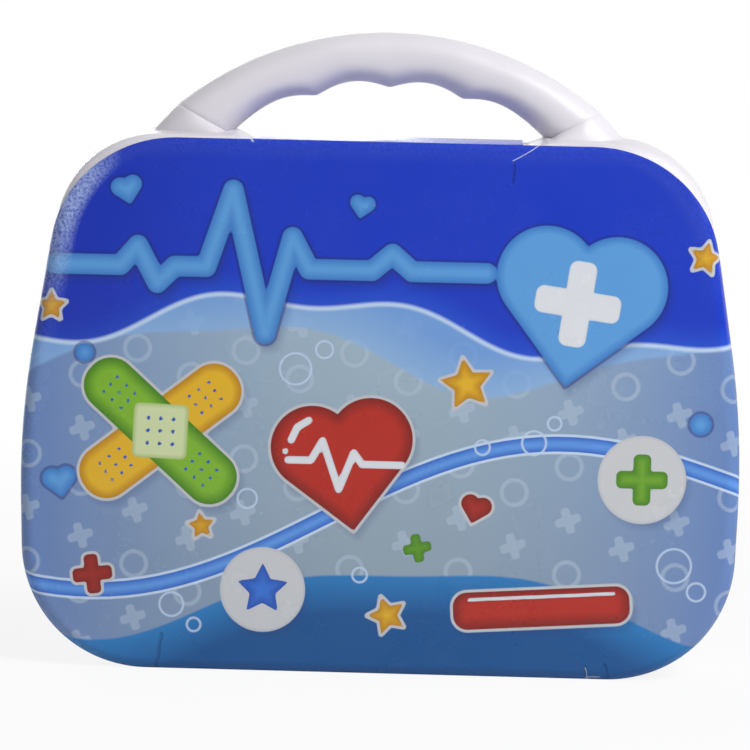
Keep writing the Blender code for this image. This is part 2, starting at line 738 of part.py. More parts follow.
def add_hammer(red):
    """Reflex hammer: a head with flared faces on a ridged handle, which plugs into the head's boss."""
    half = HAMMER_HEAD_LENGTH / 2
    right = [(half * along, HAMMER_HEAD_RADIUS * wide) for along, wide in HAMMER_HEAD_SHARES]
    left = [(-along, wide) for along, wide in reversed(right)]
    head = add_object("hammer_head", turned("hammer_head", right + left), red)
    place(head, (HAMMER_X, TOY_AXIS_Y, HAMMER_HEAD_Z), (1, 0, 0))
    boss = add_cutter("hammer_boss", rod("hammer_boss", HAMMER_BOSS_RADIUS, 0, HAMMER_BOSS_REACH))
    socket_start = HAMMER_BOSS_REACH - HAMMER_SPIGOT_LENGTH - CLEARANCE
    socket_radius = HAMMER_SPIGOT_RADIUS + CLEARANCE
    socket_end = HAMMER_BOSS_REACH + OVERRUN
    socket = add_cutter("hammer_socket", rod("hammer_socket", socket_radius, socket_start, socket_end))
    for tool in (boss, socket):
        place(tool, (HAMMER_X, TOY_AXIS_Y, HAMMER_HEAD_Z), (0, 0, -1))
    combine(head, boss, "UNION")
    combine(head, socket, "DIFFERENCE")
    profile = [(-HAMMER_SPIGOT_LENGTH, HAMMER_SPIGOT_RADIUS), (CLEARANCE, HAMMER_SPIGOT_RADIUS)]
    profile.append((CLEARANCE, HAMMER_HANDLE_RADIUS))
    profile.append((HAMMER_HANDLE_LENGTH * HAMMER_WAIST_SHARE, HAMMER_WAIST_RADIUS))
    grip_start = HAMMER_HANDLE_LENGTH * HAMMER_GRIP_START_SHARE
    ridge_pitch = (HAMMER_HANDLE_LENGTH - grip_start) * HAMMER_RIDGED_SHARE / HAMMER_GRIP_RIDGES
    for ridge in range(HAMMER_GRIP_RIDGES):
        for along, wide in HAMMER_RIDGE_SHARES:
            profile.append((grip_start + (ridge + along) * ridge_pitch, HAMMER_HANDLE_RADIUS * wide))
    profile.append((HAMMER_HANDLE_LENGTH, HAMMER_HANDLE_RADIUS * HAMMER_END_RADIUS_SHARE))
    handle = add_object("hammer_handle", turned("hammer_handle", profile, SMALL_STEPS), red)
    place(handle, (HAMMER_X, TOY_AXIS_Y, HAMMER_HEAD_Z - HAMMER_BOSS_REACH), (0, 0, -1))


def ellipse_rings(half_across, half_up, levels, steps):
    """Rings of an oval about the Z axis at the given levels."""
    rings = []
    for level in levels:
        ring = []
        for step in range(steps):
            angle = math.tau * step / steps
            ring.append((half_across * math.cos(angle), half_up * math.sin(angle), level))
        rings.append(ring)
    return rings


def add_syringe(white, blue, rubber):
    """Play syringe: a barrel with finger flange, stepped nozzle, ring plunger and its seal."""
    bore_radius = BARREL_RADIUS - BARREL_WALL
    collar = BARREL_WALL / 2
    low = BARREL_RADIUS - collar
    profile = [(BARREL_LENGTH * along, low + collar * rise) for along, rise in BARREL_COLLAR_SHARES]
    barrel = add_object("syringe_barrel", turned("syringe_barrel", profile), white)
    levels = (BARREL_LENGTH - FLANGE_THICKNESS, BARREL_LENGTH - CLEARANCE)
    oval = ellipse_rings(FLANGE_HALF_HEIGHT, BARREL_RADIUS, levels, ROUND_STEPS)
    flange = add_cutter("syringe_flange", loft("syringe_flange", oval))
    bore_end = BARREL_LENGTH + OVERRUN
    bore = add_cutter("syringe_bore", rod("syringe_bore", bore_radius, -OVERRUN, bore_end, ROUND_STEPS))
    for tool in (barrel, flange, bore):
        place(tool, (SYRINGE_FRONT_X, TOY_AXIS_Y, SYRINGE_Z), (1, 0, 0))
    combine(barrel, flange, "UNION")
    combine(barrel, bore, "DIFFERENCE")
    add_nozzle(blue)
    add_plunger(blue, rubber, bore_radius - CLEARANCE)


def add_nozzle(blue):
    """The stepped nozzle in front of the barrel, with its bore."""
    profile = []
    for along, wide in NOZZLE_STEP_SHARES:
        radius = NOZZLE_TIP_RADIUS + (BARREL_RADIUS - NOZZLE_TIP_RADIUS) * wide
        profile.append((CLEARANCE + (NOZZLE_LENGTH - CLEARANCE) * along, radius))
    profile += [(NOZZLE_LENGTH, NOZZLE_BORE_RADIUS), (CLEARANCE, NOZZLE_BORE_RADIUS)]
    nozzle = add_object("syringe_nozzle", turned("syringe_nozzle", profile, ROUND_STEPS, closed=True), blue)
    place(nozzle, (SYRINGE_FRONT_X, TOY_AXIS_Y, SYRINGE_Z), (-1, 0, 0))


def add_plunger(blue, rubber, seal_radius):
    """The plunger rod with its finger ring, and the seal on its front end."""
    seal_start = CLEARANCE
    rod_start = seal_start + SEAL_THICKNESS + CLEARANCE
    ring_centre = BARREL_LENGTH + RING_RADIUS + 2 * RING_BAR_RADIUS
    thumb_start = BARREL_LENGTH + CLEARANCE
    profile = [
        (rod_start, ROD_FOOT_RADIUS),
        (rod_start + RING_BAR_RADIUS, ROD_FOOT_RADIUS),
        (rod_start + RING_BAR_RADIUS, ROD_RADIUS),
        (thumb_start, ROD_RADIUS),
        (thumb_start + ROD_TAPER_LENGTH, RING_BAR_RADIUS),
    ]
    plunger = add_object("syringe_plunger", turned("syringe_plunger", profile, SMALL_STEPS), blue)
    bar = []
    for step in range(RING_BAR_STEPS):
        angle = math.tau * step / RING_BAR_STEPS
        bar.append((RING_BAR_RADIUS * math.sin(angle), RING_RADIUS + RING_BAR_RADIUS * math.cos(angle)))
    ring_tool = add_cutter("plunger_ring", turned("plunger_ring", bar, ROUND_STEPS, closed=True))
    place(plunger, (SYRINGE_FRONT_X, TOY_AXIS_Y, SYRINGE_Z), (1, 0, 0))
    place(ring_tool, (SYRINGE_FRONT_X + ring_centre, TOY_AXIS_Y, SYRINGE_Z), (0, 1, 0))
    combine(plunger, ring_tool, "UNION")
    seal_profile = [(seal_start + SEAL_THICKNESS * along, seal_radius * wide) for along, wide in SEAL_SHARES]
    seal = add_object("syringe_seal", turned("syringe_seal", seal_profile), rubber)
    place(seal, (SYRINGE_FRONT_X, TOY_AXIS_Y, SYRINGE_Z), (1, 0, 0))


def thermometer_corners():
    """The thermometer from the front: a round dial head that tapers to a rounded tail."""
    right = THERMOMETER_X + THERMOMETER_LENGTH / 2
    left = THERMOMETER_X - THERMOMETER_LENGTH / 2
    neck = left + 2 * DIAL_HEAD_RADIUS
    head_round = DIAL_HEAD_RADIUS * FULL_ROUND_SHARE
    neck_round = DIAL_HEAD_RADIUS * NECK_ROUND_SHARE
    tail_round = TAIL_RADIUS * TAIL_ROUND_SHARE
    return [
        (left, THERMOMETER_Z - DIAL_HEAD_RADIUS, head_round, CORNER_STEPS),
        (neck, THERMOMETER_Z - DIAL_HEAD_RADIUS, neck_round, POCKET_CORNER_STEPS),
        (right, THERMOMETER_Z - TAIL_RADIUS, tail_round, POCKET_CORNER_STEPS),
        (right, THERMOMETER_Z + TAIL_RADIUS, tail_round, POCKET_CORNER_STEPS),
        (neck, THERMOMETER_Z + DIAL_HEAD_RADIUS, neck_round, POCKET_CORNER_STEPS),
        (left, THERMOMETER_Z + DIAL_HEAD_RADIUS, head_round, CORNER_STEPS),
    ]


def add_thermometer(green, light_green, white, red):
    """Play thermometer: body, dial with its post, turning pointer and raised grip pad."""
    low = TOY_AXIS_Y - THERMOMETER_THICKNESS / 2
    high = TOY_AXIS_Y + THERMOMETER_THICKNESS / 2
    soft_edge = THERMOMETER_THICKNESS / 6
    form = prism("thermometer_body", thermometer_corners(), low, high, soft_edge)
    body = add_object("thermometer_body", form, green)
    dial_x = THERMOMETER_X - THERMOMETER_LENGTH / 2 + DIAL_HEAD_RADIUS
    recess_radius = DIAL_RADIUS + CLEARANCE
    recess = add_cutter("dial_recess", rod("dial_recess", recess_radius, -OVERRUN, DIAL_RECESS, ROUND_STEPS))
    place(recess, (dial_x, low, THERMOMETER_Z), (0, 1, 0))
    combine(body, recess, "DIFFERENCE")
    dial_top = DIAL_RECESS - CLEARANCE - DIAL_THICKNESS
    post_top = dial_top - CLEARANCE - POINTER_THICKNESS
    dial_profile = [
        (post_top, DIAL_POST_RADIUS),
        (dial_top, DIAL_POST_RADIUS),
        (dial_top, DIAL_RADIUS),
        (DIAL_RECESS - CLEARANCE, DIAL_RADIUS),
    ]
    dial = add_object("thermometer_dial", turned("thermometer_dial", dial_profile), white)
    place(dial, (dial_x, low, THERMOMETER_Z), (0, 1, 0))
    hub_round = POINTER_HUB_RADIUS * TAIL_ROUND_SHARE
    pointer_corners = [
        (-POINTER_HUB_RADIUS, -POINTER_HUB_RADIUS, hub_round, POCKET_CORNER_STEPS),
        (POINTER_HUB_RADIUS, -POINTER_HUB_RADIUS, hub_round, POCKET_CORNER_STEPS),
        (POINTER_TIP_HALF_WIDTH, POINTER_LENGTH, 0, 0),
        (-POINTER_TIP_HALF_WIDTH, POINTER_LENGTH, 0, 0),
    ]
    mesh = prism("thermometer_pointer", pointer_corners, post_top, post_top + POINTER_THICKNESS)
    pointer = add_object("thermometer_pointer", mesh, red)
    pointer.location = (dial_x, low, THERMOMETER_Z)
    eye = add_cutter("pointer_eye", rod("pointer_eye", DIAL_POST_RADIUS + CLEARANCE, -OVERRUN, DIAL_RECESS))
    place(eye, (dial_x, low, THERMOMETER_Z), (0, 1, 0))
    combine(pointer, eye, "DIFFERENCE")
    add_grip_pad(body, light_green, low)


def pad_corners(grow):
    """The grip pad's long oval outline, or with grow the recess round it."""
    centre = THERMOMETER_X + THERMOMETER_LENGTH / 6
    half = GRIP_PAD_LENGTH / 2 + grow
    wide = GRIP_PAD_HALF_WIDTH + grow
    steps = 2 * POCKET_CORNER_STEPS
    radius = wide * FULL_ROUND_SHARE
    return [
        (centre - half, THERMOMETER_Z - wide, radius, steps),
        (centre + half, THERMOMETER_Z - wide, radius, steps),
        (centre + half, THERMOMETER_Z + wide, radius, steps),
        (centre - half, THERMOMETER_Z + wide, radius, steps),
    ]


def add_grip_pad(body, light_green, low):
    """The raised pad set into the thermometer's body."""
    floor = low + GRIP_PAD_RISE
    recess = add_cutter("pad_recess", prism("pad_recess", pad_corners(CLEARANCE), low - OVERRUN, floor))
    combine(body, recess, "DIFFERENCE")
    top = low - GRIP_PAD_RISE
    pad = prism("thermometer_pad", pad_corners(0), top, floor - CLEARANCE, GRIP_PAD_RISE / 3)
    add_object("thermometer_pad", pad, light_green)


def add_capsules(blue, white):
    """Two play capsules, each of a blue socket half and a white half with a neck."""
    for number, centre in enumerate((INNER_CAPSULE_X, OUTER_CAPSULE_X), 1):
        dome = dome_profile(CAPSULE_LENGTH / 2, CAPSULE_RADIUS)
        neck_radius = CAPSULE_RADIUS - CAPSULE_WALL
        bore_depth = CAPSULE_NECK_LENGTH + CLEARANCE
        plug_radius = neck_radius - CLEARANCE
        blue_profile = dome + [(HALF_GAP, neck_radius), (bore_depth, neck_radius)]
        white_profile = dome + [(HALF_GAP, plug_radius), (-CAPSULE_NECK_LENGTH, plug_radius)]
        halves = (("blue", blue_profile, blue, (-1, 0, 0)), ("white", white_profile, white, (1, 0, 0)))
        for colour_name, profile, material, direction in halves:
            name = f"capsule_{number}_{colour_name}"
            half = add_object(name, turned(name, profile), material)
            place(half, (centre, TOY_AXIS_Y, CAPSULE_Z), direction)


def dome_profile(length, radius):
    """A round-ended half of a capsule, from its tip back to its mouth at the middle."""
    profile = []
    for step in range(BULGE_STEPS + 1):
        angle = math.pi / 2 * (step + DOME_TIP_SHARE) / (BULGE_STEPS + DOME_TIP_SHARE)
        profile.append((length - radius + radius * math.cos(angle), radius * math.sin(angle)))
    profile.append((HALF_GAP, radius))
    return profile


def smooth_route(points, spacing):
    """Points close together along a smooth curve through the given points."""
    route = []
    ends = [points[0] * 2 - points[1]] + list(points) + [points[-1] * 2 - points[-2]]
    for first, second, third, fourth in zip(ends, ends[1:], ends[2:], ends[3:]):
        count = max(1, round((third - second).length / spacing))
        for step in range(count):
            t = step / count
            bend = (third - first) * t
            bend += (first * 2 - second * 5 + third * 4 - fourth) * t ** 2
            bend += (second * 3 - first - third * 3 + fourth) * t ** 3
            route.append(second + bend / 2)
    route.append(points[-1])
    return route


def tube(name, route, radius, material, resolution=2):
    """A round tube of one thickness along a route."""
    curve = bpy.data.curves.new(name, "CURVE")
    curve.dimensions = "3D"
    curve.bevel_depth = radius
    curve.bevel_resolution = resolution
    curve.use_fill_caps = True
    spline = curve.splines.new("POLY")
    spline.points.add(len(route) - 1)
    for point, at in zip(spline.points, route):
        point.co = (*at, 1)
    curve.materials.append(material)
    line = bpy.data.objects.new(name, curve)
    bpy.context.scene.collection.objects.link(line)
    return line


def ear_tube_route(end):
    """The centre line of one ear tube, from its pivot eye to its tip."""
    start = HEADSET_X + end * PIVOT_SPREAD
    points = []
    for wide, high in zip(EAR_TUBE_SPAN_SHARES, EAR_TUBE_LENGTH_SHARES):
        x = start + end * EAR_TUBE_SPAN * wide
        points.append(Vector((x, TOY_AXIS_Y, PIVOT_Z + EAR_TUBE_LENGTH * high)))
    return smooth_route(points, 2 * EAR_TUBE_RADIUS)


def add_headset(blue, yellow):
    """The stethoscope's headset: a forked yoke with its pins, two ear tubes and two ear tips."""
    stem_round = YOKE_STEM_HALF_WIDTH / 2
    yoke_corners = [
        (HEADSET_X - YOKE_STEM_HALF_WIDTH, PIVOT_Z - YOKE_DROP, stem_round, POCKET_CORNER_STEPS),
        (HEADSET_X + YOKE_STEM_HALF_WIDTH, PIVOT_Z - YOKE_DROP, stem_round, POCKET_CORNER_STEPS),
        (HEADSET_X + YOKE_HALF_WIDTH, PIVOT_Z - YOKE_RISE, YOKE_RISE, POCKET_CORNER_STEPS),
        (HEADSET_X + YOKE_HALF_WIDTH, PIVOT_Z + YOKE_RISE, YOKE_RISE / 2, POCKET_CORNER_STEPS),
        (HEADSET_X - YOKE_HALF_WIDTH, PIVOT_Z + YOKE_RISE, YOKE_RISE / 2, POCKET_CORNER_STEPS),
        (HEADSET_X - YOKE_HALF_WIDTH, PIVOT_Z - YOKE_RISE, YOKE_RISE, POCKET_CORNER_STEPS),
    ]
    low = TOY_AXIS_Y - YOKE_HALF_THICKNESS
    high = TOY_AXIS_Y + YOKE_HALF_THICKNESS
    form = prism("stethoscope_yoke", yoke_corners, low, high, YOKE_HALF_THICKNESS / 6)
    yoke = add_object("stethoscope_yoke", form, blue)
    slot_half = EYE_THICKNESS / 2 + CLEARANCE
    slot_reach = EYE_RADIUS + 2 * CLEARANCE
    pin_end = (slot_half + YOKE_HALF_THICKNESS) / 2
    for end, side_name in ((-1, "left"), (1, "right")):
        pivot = (HEADSET_X + end * PIVOT_SPREAD, TOY_AXIS_Y, PIVOT_Z)
        name = f"yoke_slot_{side_name}"
        slot = add_cutter(name, rod(name, slot_reach, -slot_half, slot_half, ROUND_STEPS))
        place(slot, pivot, (0, 1, 0))
        mouth_low = (pivot[0] - slot_reach, TOY_AXIS_Y - slot_half, PIVOT_Z)
        mouth_high = (pivot[0] + slot_reach, TOY_AXIS_Y + slot_half, PIVOT_Z + YOKE_RISE + OVERRUN)
        name = f"yoke_mouth_{side_name}"
        mouth = add_cutter(name, box(name, mouth_low, mouth_high))
        name = f"yoke_pin_{side_name}"
        pin = add_cutter(name, rod(name, PIVOT_PIN_RADIUS, -pin_end, pin_end))
        place(pin, pivot, (0, 1, 0))
        combine(yoke, slot, "DIFFERENCE")
        combine(yoke, mouth, "DIFFERENCE")
        combine(yoke, pin, "UNION")
        add_ear_tube(end, side_name, pivot, blue, yellow)


def add_ear_tube(end, side_name, pivot, blue, yellow):
    """One ear tube with the eye that turns on the yoke's pin, and the soft tip on its other end."""
    route = ear_tube_route(end)
    curve_object = tube(f"ear_tube_{side_name}_curve", route, EAR_TUBE_RADIUS, blue)
    bpy.context.view_layer.update()
    graph = bpy.context.evaluated_depsgraph_get()
    mesh = bpy.data.meshes.new_from_object(curve_object.evaluated_get(graph))
    bpy.data.objects.remove(curve_object, do_unlink=True)
    offset = Vector(pivot)
    mesh.transform(Matrix.Translation(-offset))
    smooth(mesh)
    name = f"ear_tube_{side_name}"
    mesh.name = name
    ear_tube = bpy.data.objects.new(name, mesh)
    bpy.context.scene.collection.objects.link(ear_tube)
    ear_tube.location = offset
    half = EYE_THICKNESS / 2
    neck_half_depth = half - HALF_GAP
    neck_low = (pivot[0] - half, TOY_AXIS_Y - neck_half_depth, PIVOT_Z)
    neck_high = (pivot[0] + half, TOY_AXIS_Y + neck_half_depth, PIVOT_Z + YOKE_RISE + 2 * EAR_TUBE_RADIUS)
    bore_radius = PIVOT_PIN_RADIUS + CLEARANCE
    bore_end = half + OVERRUN
    eye = add_cutter(f"{name}_eye", rod(f"{name}_eye", EYE_RADIUS, -half, half, ROUND_STEPS))
    neck = add_cutter(f"{name}_neck", box(f"{name}_neck", neck_low, neck_high))
    bore = add_cutter(f"{name}_bore", rod(f"{name}_bore", bore_radius, -bore_end, bore_end))
    for tool in (eye, bore):
        place(tool, pivot, (0, 1, 0))
    combine(ear_tube, eye, "UNION")
    combine(ear_tube, neck, "UNION")
    combine(ear_tube, bore, "DIFFERENCE")
    direction = (route[-1] - route[-2]).normalized()
    profile = [(CLEARANCE + EAR_TIP_LENGTH * along, EAR_TIP_RADIUS * wide) for along, wide in EAR_TIP_SHARES]
    tip = add_object(f"ear_tip_{side_name}", turned(f"ear_tip_{side_name}", profile, SMALL_STEPS), yellow)
    place(tip, route[-1], direction)


def add_chest_piece(yellow, blue):
    """The stethoscope's chest piece: a domed body with a stem, and the disc set into its front."""
    half = CHEST_THICKNESS / 2
    recess = DIAPHRAGM_THICKNESS + CLEARANCE
    recess_radius = DIAPHRAGM_RADIUS + CLEARANCE
    profile = [(half * along, CHEST_RADIUS * wide) for along, wide in CHEST_SHARES]
    profile += [(-half, recess_radius), (-half + recess, recess_radius)]
    chest = add_object("chest_piece", turned("chest_piece", profile), yellow)
    stem = add_cutter("chest_stem", rod("chest_stem", STEM_RADIUS, CHEST_RADIUS / 2, STEM_REACH))
    disc_profile = [(-half + CLEARANCE, DIAPHRAGM_RIM_RADIUS), (-half + recess - CLEARANCE, DIAPHRAGM_RADIUS)]
    disc = add_object("chest_disc", turned("chest_disc", disc_profile), blue)
    for piece in (chest, disc):
        place(piece, (CHEST_X, TOY_AXIS_Y, CHEST_Z), (0, 1, 0))
    place(stem, (CHEST_X, TOY_AXIS_Y, CHEST_Z), (0, 0, 1))
    combine(chest, stem, "UNION")


def hose_route():
    """The hose's route in the tray, from the yoke's lower end round to the chest piece's stem."""
    stops = (
        (HEADSET_X, PIVOT_Z - YOKE_DROP - CLEARANCE),
        (HEADSET_X, PIVOT_Z - YOKE_DROP - HOSE_RADIUS),
        (HEADSET_X + STEM_RADIUS, HOSE_LOW_Z + HOSE_RADIUS / 2),
        (HEADSET_X + YOKE_DROP, HOSE_LOW_Z),
        (HOSE_RISE_X - YOKE_DROP, HOSE_LOW_Z),
        (HOSE_RISE_X - STEM_RADIUS, HOSE_LOW_Z + STEM_RADIUS),
        (HOSE_RISE_X, HOSE_LOW_Z + YOKE_DROP),
        (HOSE_RISE_X, CHEST_Z),
        (HOSE_RISE_X, HOSE_TOP_Z - CHEST_RADIUS),
        (HOSE_RISE_X + STEM_RADIUS, HOSE_TOP_Z - 2 * STEM_RADIUS),
        (HOSE_RISE_X + YOKE_DROP, HOSE_TOP_Z),
        (CHEST_X - STEM_RADIUS / 2, HOSE_TOP_Z - 2 * STEM_RADIUS),
        (CHEST_X, CHEST_Z + STEM_REACH + CLEARANCE + HOSE_RADIUS),
        (CHEST_X, CHEST_Z + STEM_REACH + CLEARANCE),
    )
    return [Vector((x, TOY_AXIS_Y, z)) for x, z in stops]


def add_hose(material):
    """The soft hose between the headset and the chest piece."""
    tube("stethoscope_hose", smooth_route(hose_route(), 2 * HOSE_RADIUS), HOSE_RADIUS, material)


def pocket_corners(left, low, right, high, radius):
    """A rounded rectangle between two corners in x and z."""
    return [
        (left, low, radius, POCKET_CORNER_STEPS),
        (right, low, radius, POCKET_CORNER_STEPS),
        (right, high, radius, POCKET_CORNER_STEPS),
        (left, high, radius, POCKET_CORNER_STEPS),
    ]


def hammer_pockets(fit):
    """The pockets for the hammer's head and handle, as sides, corner radius and reach below the axis."""
    head_half = HAMMER_HEAD_LENGTH / 2 + fit
    head_up = HAMMER_HEAD_RADIUS + fit
    grip = HAMMER_HANDLE_RADIUS + fit
    handle_end = HAMMER_HEAD_Z - HAMMER_BOSS_REACH - HAMMER_HANDLE_LENGTH - fit
    head_low = HAMMER_HEAD_Z - head_up
    head_high = HAMMER_HEAD_Z + head_up
    left = HAMMER_X - head_half
    right = HAMMER_X + head_half
    grip_left = HAMMER_X - grip
    grip_right = HAMMER_X + grip
    return (
        (left, head_low, right, head_high, POCKET_CORNER_RADIUS, HAMMER_HEAD_RADIUS),
        (grip_left, handle_end, grip_right, HAMMER_HEAD_Z, POCKET_CORNER_RADIUS, HAMMER_BOSS_RADIUS),
    )


def syringe_pockets(fit):
    """The pockets for the syringe's barrel and flange, and for the plunger when it is drawn out."""
    barrel_low = SYRINGE_Z - BARREL_RADIUS - fit
    barrel_high = SYRINGE_Z + BARREL_RADIUS + fit
    flange_low = SYRINGE_Z - FLANGE_HALF_HEIGHT - fit
    flange_high = SYRINGE_Z + FLANGE_HALF_HEIGHT + fit
    nose = SYRINGE_FRONT_X - NOZZLE_LENGTH - fit
    flange_left = FLANGE_X - FLANGE_THICKNESS - fit
    flange_right = FLANGE_X + fit
    ring_reach = FLANGE_X + 2 * RING_RADIUS + 3 * RING_BAR_RADIUS + PLUNGER_TRAVEL + fit
    return (
        (nose, barrel_low, flange_right, barrel_high, 3 * POCKET_CORNER_RADIUS, BARREL_RADIUS),
        (flange_left, flange_low, flange_right, flange_high, FLANGE_THICKNESS / 2, BARREL_RADIUS),
        (FLANGE_X - fit, barrel_low, ring_reach, barrel_high, POCKET_CORNER_RADIUS, ROD_RADIUS),
    )


def small_toy_pockets(fit):
    """The pockets for the thermometer and for the two capsules."""
    left = THERMOMETER_X - THERMOMETER_LENGTH / 2 - fit
    right = THERMOMETER_X + THERMOMETER_LENGTH / 2 + fit
    low = THERMOMETER_Z - DIAL_HEAD_RADIUS - fit
    high = THERMOMETER_Z + DIAL_HEAD_RADIUS + fit
    capsule_left = INNER_CAPSULE_X - CAPSULE_LENGTH / 2 - fit
    capsule_right = OUTER_CAPSULE_X + CAPSULE_LENGTH / 2 + fit
    capsule_low = CAPSULE_Z - CAPSULE_RADIUS - fit
    capsule_high = CAPSULE_Z + CAPSULE_RADIUS + fit
    return (
        (left, low, right, high, 3 * POCKET_CORNER_RADIUS, THERMOMETER_THICKNESS / 2),
        (capsule_left, capsule_low, capsule_right, capsule_high, POCKET_CORNER_RADIUS, CAPSULE_RADIUS),
    )


def stethoscope_pockets(fit):
    """The pockets for the headset with its swing, for the hose, and for the chest piece with its stem."""
    swing = EAR_TUBE_LENGTH * EAR_SWING + EAR_TIP_RADIUS + fit
    span = PIVOT_SPREAD + EAR_TUBE_SPAN + EAR_TUBE_RADIUS + swing / 2
    left = HEADSET_X - span
    right = HEADSET_X + span
    yoke_low = PIVOT_Z - YOKE_DROP
    headset_top = PIVOT_Z + EAR_TUBE_LENGTH + EAR_TIP_LENGTH + fit
    hose = HOSE_RADIUS + fit
    hose_low = HOSE_LOW_Z - hose
    hose_left = HEADSET_X - hose
    rise_left = HOSE_RISE_X - 3 * hose / 2
    rise_right = CHEST_X + 2 * hose
    chest = CHEST_RADIUS + fit
    chest_left = CHEST_X - chest
    chest_right = CHEST_X + chest
    chest_round = chest * FULL_ROUND_SHARE
    stem = STEM_RADIUS + fit
    stem_top = CHEST_Z + STEM_REACH + fit
    return (
        (left, yoke_low - fit, right, headset_top, 4 * POCKET_CORNER_RADIUS, EAR_TIP_RADIUS),
        (hose_left, hose_low, HOSE_RISE_X + hose, yoke_low, POCKET_CORNER_RADIUS, HOSE_RADIUS),
        (rise_left, hose_low, rise_right, HOSE_TOP_Z + hose, POCKET_CORNER_RADIUS, HOSE_RADIUS),
        (chest_left, CHEST_Z - chest, chest_right, CHEST_Z + chest, chest_round, CHEST_THICKNESS / 2),
        (CHEST_X - stem, CHEST_Z, CHEST_X + stem, stem_top, POCKET_CORNER_RADIUS, STEM_RADIUS),
    )


def add_tray(material):
    """The formed insert tray: a flat sheet with a pocket for each instrument."""
    inset = WALL + CLEARANCE + LIP_THICKNESS + TRAY_FIT
    lowest = HINGE_HEIGHT + WALL + TRAY_FIT
    sheet_rings = []
    for y in (TRAY_FACE_Y, TRAY_FACE_Y + TRAY_SHEET):
        ring = rounded_outline(body_corners(), inset + SIDE_DRAFT)
        sheet_rings.append([(point.x, y, max(point.y, lowest)) for point in ring])
    tray = add_object("insert_tray", loft("insert_tray", sheet_rings), material)
    outsides = bpy.data.collections.new("pocket_outsides")
    insides = bpy.data.collections.new("pocket_insides")
    fit = POCKET_FIT + POCKET_DRAFT
    pockets = hammer_pockets(fit) + syringe_pockets(fit) + small_toy_pockets(fit) + stethoscope_pockets(fit)
    for number, (left, base, right, top, radius, reach) in enumerate(pockets):
        corners = pocket_corners(left, base, right, top, radius)
        floor = TOY_AXIS_Y + reach + CLEARANCE
        low = TRAY_FACE_Y + TRAY_SHEET / 2
        outside = pocket_form(f"pocket_outside_{number}", corners, low, floor + TRAY_SHEET, TRAY_SHEET)
        inside = pocket_form(f"pocket_inside_{number}", corners, TRAY_FACE_Y - OVERRUN, floor, 0)
        for mesh, collection in ((outside, outsides), (inside, insides)):
            tool = add_cutter(mesh.name, mesh)
            bpy.context.scene.collection.objects.unlink(tool)
            collection.objects.link(tool)
    for collection, operation in ((outsides, "UNION"), (insides, "DIFFERENCE")):
        bpy.context.scene.collection.children.link(collection)
        modifier = tray.modifiers.new(collection.name, "BOOLEAN")
        modifier.operand_type = "COLLECTION"
        modifier.collection = collection
        modifier.operation = operation
        modifier.solver = "EXACT"


def pocket_form(name, corners, top, floor, grow):
    """A pocket's drafted form, from above the sheet to its floor, grown by the sheet's thickness outside."""
    rings = []
    for inset, y in ((-grow, top), (POCKET_DRAFT - grow, floor)):
        rings.append([(point.x, y, point.y) for point in rounded_outline(corners, inset)])
    return loft(name, rings)


def main():
    """Build the case, its card, the tray and the play instruments."""
    clear_scene()
    white = plastic("white_polypropylene", (0.82, 0.81, 0.83), 0.38)
    print_card = plastic("printed_card", (0.02, 0.09, 0.48), 0.30)
    pin_white = plastic("pin_plastic", (0.70, 0.70, 0.72), 0.45)
    tray_white = plastic("tray_sheet", (0.88, 0.88, 0.86), 0.42)
    red = plastic("red_plastic", (0.62, 0.02, 0.03), 0.30)
    blue = plastic("blue_plastic", (0.02, 0.22, 0.72), 0.30)
    yellow = plastic("yellow_plastic", (0.95, 0.55, 0.02), 0.32)
    green = plastic("green_plastic", (0.16, 0.55, 0.04), 0.32)
    light_green = plastic("light_green_plastic", (0.30, 0.72, 0.08), 0.32)
    toy_white = plastic("toy_white_plastic", (0.85, 0.85, 0.84), 0.32)
    rubber = plastic("seal_rubber", (0.10, 0.10, 0.11), 0.70)
    hose = plastic("hose_vinyl", (0.84, 0.85, 0.86), 0.45)
    add_case(white, pin_white)
    add_card(print_card)
    add_tray(tray_white)
    add_hammer(red)
    add_syringe(toy_white, blue, rubber)
    add_thermometer(green, light_green, toy_white, red)
    add_capsules(blue, toy_white)
    add_headset(blue, yellow)
    add_chest_piece(yellow, blue)
    add_hose(hose)


main()
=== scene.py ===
"""A toy doctor case: two white moulded shells with an arch handle, a printed card over the front,
and a formed tray of play instruments behind the lid."""
import math

import bmesh
import bpy
import numpy as np
from mathutils import Matrix, Vector


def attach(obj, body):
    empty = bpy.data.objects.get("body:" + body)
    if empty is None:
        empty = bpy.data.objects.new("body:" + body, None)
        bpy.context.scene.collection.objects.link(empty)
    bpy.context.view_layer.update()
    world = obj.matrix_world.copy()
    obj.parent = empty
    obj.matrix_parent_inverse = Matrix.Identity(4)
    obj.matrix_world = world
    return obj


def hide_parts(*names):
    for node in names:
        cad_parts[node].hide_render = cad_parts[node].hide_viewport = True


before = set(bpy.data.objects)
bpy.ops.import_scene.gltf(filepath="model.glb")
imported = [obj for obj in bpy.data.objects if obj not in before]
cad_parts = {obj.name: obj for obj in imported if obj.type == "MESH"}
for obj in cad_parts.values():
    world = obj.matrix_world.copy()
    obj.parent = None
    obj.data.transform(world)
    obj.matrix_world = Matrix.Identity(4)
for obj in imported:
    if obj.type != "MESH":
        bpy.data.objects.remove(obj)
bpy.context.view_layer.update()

# White shells. The lid and the back are injection moulded from white polypropylene, each in one piece
# with half of the arch handle. They meet at the parting plane y = 0, turn on a hinge in a channel across
# the base, and snap together with pegs inside the handle.

